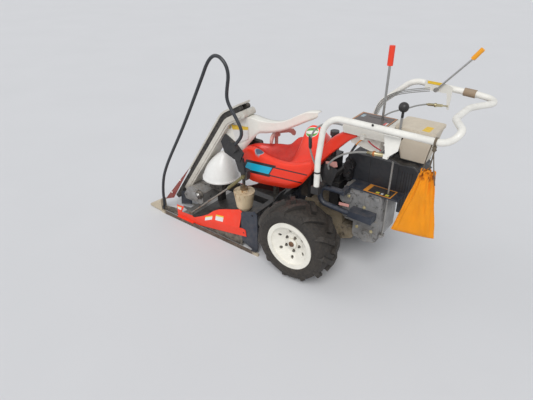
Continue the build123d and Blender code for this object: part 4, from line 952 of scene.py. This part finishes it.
def add_floor():
    """Pale floor out to the horizon."""
    mesh = bpy.data.meshes.new("floor")
    corners = [(-FLOOR_HALF, -FLOOR_HALF, 0), (FLOOR_HALF, -FLOOR_HALF, 0), (FLOOR_HALF, FLOOR_HALF, 0),
               (-FLOOR_HALF, FLOOR_HALF, 0)]
    mesh.from_pydata(corners, [], [(0, 1, 2, 3)])
    mesh.materials.append(Finish("floor", (0.66, 0.66, 0.67), 0.8).mottle(1.2, 0.97, 1.02, 0.5).done())
    floor = bpy.data.objects.new("floor", mesh)
    bpy.context.collection.objects.link(floor)


def add_world():
    """Soft even light from all round, and a plain pale backdrop that the camera and gloss see."""
    world = bpy.data.worlds.new("studio")
    bpy.context.scene.world = world
    world.use_nodes = True
    tree = world.node_tree
    light = tree.nodes["Background"]
    light.inputs["Color"].default_value = SKY_LIGHT
    light.inputs["Strength"].default_value = SKY_STRENGTH
    seen = tree.nodes.new("ShaderNodeBackground")
    seen.inputs["Color"].default_value = SKY_SEEN
    rays = tree.nodes.new("ShaderNodeLightPath")
    share = rays.outputs["Is Camera Ray"]
    for kind in ("Is Glossy Ray", "Is Transmission Ray"):
        larger = tree.nodes.new("ShaderNodeMath")
        larger.operation = "MAXIMUM"
        tree.links.new(share, larger.inputs[0])
        tree.links.new(rays.outputs[kind], larger.inputs[1])
        share = larger.outputs[0]
    blend = tree.nodes.new("ShaderNodeMixShader")
    for source, socket in ((share, 0), (light.outputs[0], 1), (seen.outputs[0], 2)):
        tree.links.new(source, blend.inputs[socket])
    tree.links.new(blend.outputs[0], tree.nodes["World Output"].inputs["Surface"])


# Details

WHEEL_FACE, NUT_CIRCLE, NUT_COUNT, FIRST_NUT = 275, 38, 5, 112  # the last in degrees
RING_PROFILE = ((0, 0), (0, 25), (8, 25), (10, 23), (10, 0))
CAP_PROFILE = ((0, 0), (0, 13), (4, 14), (7, 12), (10, 7), (11, 0))


def add_wheel_fittings(side, word):
    """Nuts on a circle, a ring and a cap on the outer face of one wheel, turning with it."""
    face, body = WHEEL_FACE * side, "wheel_" + word
    turn = np.radians(FIRST_NUT + 360 / NUT_COUNT * np.arange(NUT_COUNT))
    nuts = [((NUT_CIRCLE * np.cos(a), face, AXLE_Z + NUT_CIRCLE * np.sin(a)), (0, side, 0)) for a in turn]
    bolts("rim_nuts_" + word, nuts, cast_black, 5.6, 9, body=body, slot="cast_black")
    end = (0, face + side * 20, AXLE_Z)
    turned("hub_ring_" + word, (0, face, AXLE_Z), end, RING_PROFILE, rim_paint, body=body, slot="white_paint")
    turned("hub_cap_" + word, (0, face + side * 8, AXLE_Z), end, CAP_PROFILE, rusty_steel, body=body,
           slot="hub_rust")


RIGHT_PLATE_Y = -198.9
GUARD_Y, GUARD_LEAN = 231.5, np.tan(np.radians(18))
GUARD_FRONT, GUARD_FOOT, GUARD_RISE = 699, 52, 0.194


def guard_face(x, z):
    """The left guard's sloped face over a point: it leans in above a foot line that rises to the rear."""
    return x, GUARD_Y - GUARD_LEAN * (z - GUARD_FOOT - (GUARD_FRONT - x) * GUARD_RISE), z


def add_labels():
    """Blank stickers where the machine carries its labels."""
    add_panel("bonnet_label", ((510, 88, 606), (402, 88, 618), (402, 88, 556), (480, 88, 510)), headed_label,
              slot="white_paint")
    add_panel("deck_label", ((-229, 83, 472), (-233, 12, 472), (-358, 12, 472), (-354, 83, 472)),
              deck_sticker(), slot="cowl_black")
    add_panel("lid_label", ((-436, 94, 798), (-438, 42, 798), (-464, 42, 798), (-464, 96, 798)), yellow_label,
              body="bin_lid", slot="lever_yellow")
    y = RIGHT_PLATE_Y
    add_panel("handle_label", ((-336, y, 902), (-398, y, 901), (-398, y, 890), (-336, y, 891)), yellow_label,
              slot="lever_yellow")
    for name, (x0, z0), (x1, z1), tall in (("guard_label_a", (612, 88), (560, 112), 22),
                                           ("guard_label_b", (536, 126), (480, 136), 30)):
        corners = [guard_face(x, z) for x, z in ((x0, z0), (x1, z1), (x1, z1 - tall), (x0, z0 - tall))]
        add_panel(name, corners, headed_label, slot="white_paint")
    y = GUARD_Y
    add_panel("guard_label_c", ((828, y, 82), (794, y, 86), (802, y, 64), (828, y, 62)), headed_label,
              slot="white_paint")


CLUTCH_ADJUSTER = (  # height along the cable, radius
    (-2, 0), (-2, 5.5), (14, 5.5), (15, 7.5), (22, 7.5), (23, 9), (31, 9), (32, 7.5), (62, 7.5), (63, 5),
    (72, 5), (72, 0))
LEVER_ADJUSTER = (  # height along the cable, radius
    (-2, 0), (-2, 3), (18, 3), (19, 6), (42, 6), (43, 8.5), (51, 8.5), (52, 6), (78, 6), (79, 4), (86, 4),
    (86, 0))
NUT_PROFILE = ((0, 0), (0, 10.5), (8, 10.5), (8, 0))
BOOT_PROFILE = ((0, 0), (0, 5), (4, 7.5), (52, 7.5), (58, 5), (58, 0))
BAND_PROFILE = ((0, 12.9), (0, 14.8), (6, 14.8), (6, 12.9), (0, 12.9))


def add_cable_fittings():
    """Plated adjuster, its copper nut and a black boot on the control cables, and the tube's tie band."""
    turned("cable_adjuster", (-276, 193, 704), (-345, 193, 710), CLUTCH_ADJUSTER, zinc, 20, slot="steel")
    turned("adjuster_nut", (-299, 193, 706), (-308, 193, 706.8), NUT_PROFILE, copper, 6, slot="steel",
           smooth=False)
    turned("cable_boot", (-4, 171, 700), (-7, 170, 640), BOOT_PROFILE, black_plastic, 20, slot="knob_black")
    turned("tie_band", (-73, 215, 564), (-73, 215, 572), BAND_PROFILE, black_plastic, 28, slot="knob_black")


def add_right_cables():
    """Three cables along the right handle tube, and one across to the lever's plated adjuster."""
    for k, shift in enumerate((0, 7, 14)):
        route = ((-118 - shift, -196 + shift, 700), (-124 - shift, -197 + shift, 742),
                 (-141 - shift, -197, 779 - shift), (-176, -197, 812 - shift), (-222, -198, 838 - shift),
                 (-262, -199, 851 - shift), (-300, -199, 862 - shift), (-350, -200.5, 874 - shift))
        wire("handle_cable_%d" % k, route, 1.9, sheath)
    start = (-352, -190, 806)
    wire("lever_cable", (start, (-322, -172, 802), (-300, -110, 800), (-262, -52, 796), (-240, -10, 784),
                         (-238, 2, 770)), 3.2, sheath)
    turned("lever_adjuster", (-433, -197, 812), start, LEVER_ADJUSTER, zinc, 20, slot="steel")


FLAP_X, FLAP_Y, FLAP_Z = (-328, -150), (108, -96), 664  # start and reach along X and Y, height


def add_flap():
    """Black rubber flap under the bin: a sheet that waves along X and hangs at its free edge."""
    s, t = np.meshgrid(np.linspace(0, 1, 40), np.linspace(0, 1, 16))
    x, y = FLAP_X[0] + FLAP_X[1] * s, FLAP_Y[0] + FLAP_Y[1] * t
    z = FLAP_Z - 8 * t + 7 * np.sin(3.1 * np.pi * s + 1.2) * (1 - 0.6 * t) - 26 * s ** 3 - 10 * (1 - t) ** 4
    thicken(add_surface("rubber_flap", np.stack((x, y, z), -1), black_plastic, slot="belt_rubber"), 3.0)


SMALL_WIRES = (  # name, radius, finish, slot, route
    ("wire_red", 2.2, red_sheath, "guard_red",
     ((-252, 146, 730), (-268, 150, 722), (-290, 152, 714), (-312, 152, 706))),
    ("wire_black", 2.2, black_plastic, "knob_black",
     ((-254, 142, 728), (-272, 146, 716), (-294, 148, 709), (-314, 148, 703))),
    ("wire_orange", 2.2, orange_sheath, "lever_yellow",
     ((-226, 140, 728), (-214, 146, 716), (-206, 147, 704), (-200, 146, 692))),
    ("wire_sleeve", 5.0, black_plastic, "knob_black",
     ((-204, 146, 700), (-190, 144, 676), (-172, 130, 640), (-158, 104, 610), (-150, 70, 592))))


def add_wires():
    """Small electric wires under the panel, one in its black sleeve, and their plug."""
    for name, radius, finish, slot, route in SMALL_WIRES:
        wire(name, route, radius, finish)
    add_panel("wire_plug", ((-222, 147, 752), (-240, 147, 754), (-240, 147, 732), (-222, 147, 730)),
              panel_plastic, 8, slot="panel_plastic")


PLATES = (  # name, finish, slot, wall, corners
    ("choke_lever", faded_red, "faded_red", 3,
     ((-150, 139, 412), (-198, 139, 417), (-198, 139, 404), (-150, 139, 399))),
    ("cable_plate", faded_red, "faded_red", 3,
     ((-70, 140, 588), (-122, 140, 600), (-128, 140, 578), (-78, 140, 556))),
    # guard_skirt, nose_plate and inner_plate are painted shade: near-black sheets where the gaps show only
    # shade.
    ("guard_skirt", shade_sheet_coat, "black_paint", 2,
     ((672, 227, 40), (346, 227, 100), (346, 227, 12), (672, 227, 12))),
    ("foot_plate", slate_paint, "slate_paint", 4,
     ((898, 128, 112), (806, 128, 142), (818, 128, 50), (908, 128, 20))),
    ("nose_plate", shade_sheet_coat, "black_paint", 3,
     ((950, 226, 42), (828, 226, 62), (828, 226, 12), (950, 226, 12))),
    ("inner_plate", shade_sheet_coat, "black_paint", 3,
     ((134, 0, 400), (64, 0, 400), (64, 0, 290), (134, 0, 290))))


def add_plates():
    """Choke lever and cable plate by the cradle, and dark sheets that close the gaps in the bodywork; the
    near-black ones are painted shade, standing in for the shade seen in those gaps.

    The sheets lie behind the left guard's foot, beside the drive, at the nose and under the hood.
    """
    for name, finish, slot, wall, corners in PLATES:
        add_panel(name, corners, finish, wall, slot=slot)


DRIVE_X, DRIVE_Z = 722, 158
BOSS_PROFILE = ((0, 0), (0, 27), (5, 27), (6, 24), (14, 22), (16, 17), (16, 0))
BOLT_PROFILE = ((0, 0), (0, 15), (4, 15), (5, 9), (9, 9), (10, 0))


def add_drive_boss():
    """Black ring and bright bolt on the pickup's gear housing."""
    turned("drive_boss", (DRIVE_X, 148, DRIVE_Z), (DRIVE_X, 168, DRIVE_Z), BOSS_PROFILE, cast_black, 36,
           slot="cast_black")
    turned("drive_cap", (DRIVE_X, 163, DRIVE_Z), (DRIVE_X, 172, DRIVE_Z), BOLT_PROFILE, worn_steel, 24,
           slot="steel")


LEFT = (0, 1, 0)
BOLT_PLACES = (  # on the bonnet, the drive and the engine's left side
    (522, 88.5, 589), (776, 150.5, 120), (-257, 112, 408), (-180, 112, 440), (-232, 112, 300),
    (-302, 112, 300))
RIVET_PLACES = ((959, 209, 43), (890, 209, 143), (808, 209, 248))


def add_fasteners():
    """Bolt heads on castings and brackets, the handle tube's screw and the deflector's rivets."""
    bolts("fasteners", [(point, LEFT) for point in BOLT_PLACES], zinc, 6, 5, slot="steel")
    bolts("handle_screw", [((-298, 227.4, 830), LEFT)], black_plastic, 3.6, 3, 12, slot="knob_black")
    bolts("deflector_rivets", [(point, LEFT) for point in RIVET_PLACES], cover_paint, 4, 3, 12,
          slot="white_paint")


# The whole scene

add_camera()
add_floor()
add_world()
add_lamps()
add_hood()
add_neck()
add_bonnet()
add_crop_rod()
add_dome()
add_bag()
add_bag_ties()
add_wheel_fittings(1, "left")
add_wheel_fittings(-1, "right")
add_labels()
add_cable_fittings()
add_right_cables()
add_flap()
add_wires()
add_plates()
add_drive_boss()
add_fasteners()

bpy.context.scene.view_settings.view_transform = "Standard"
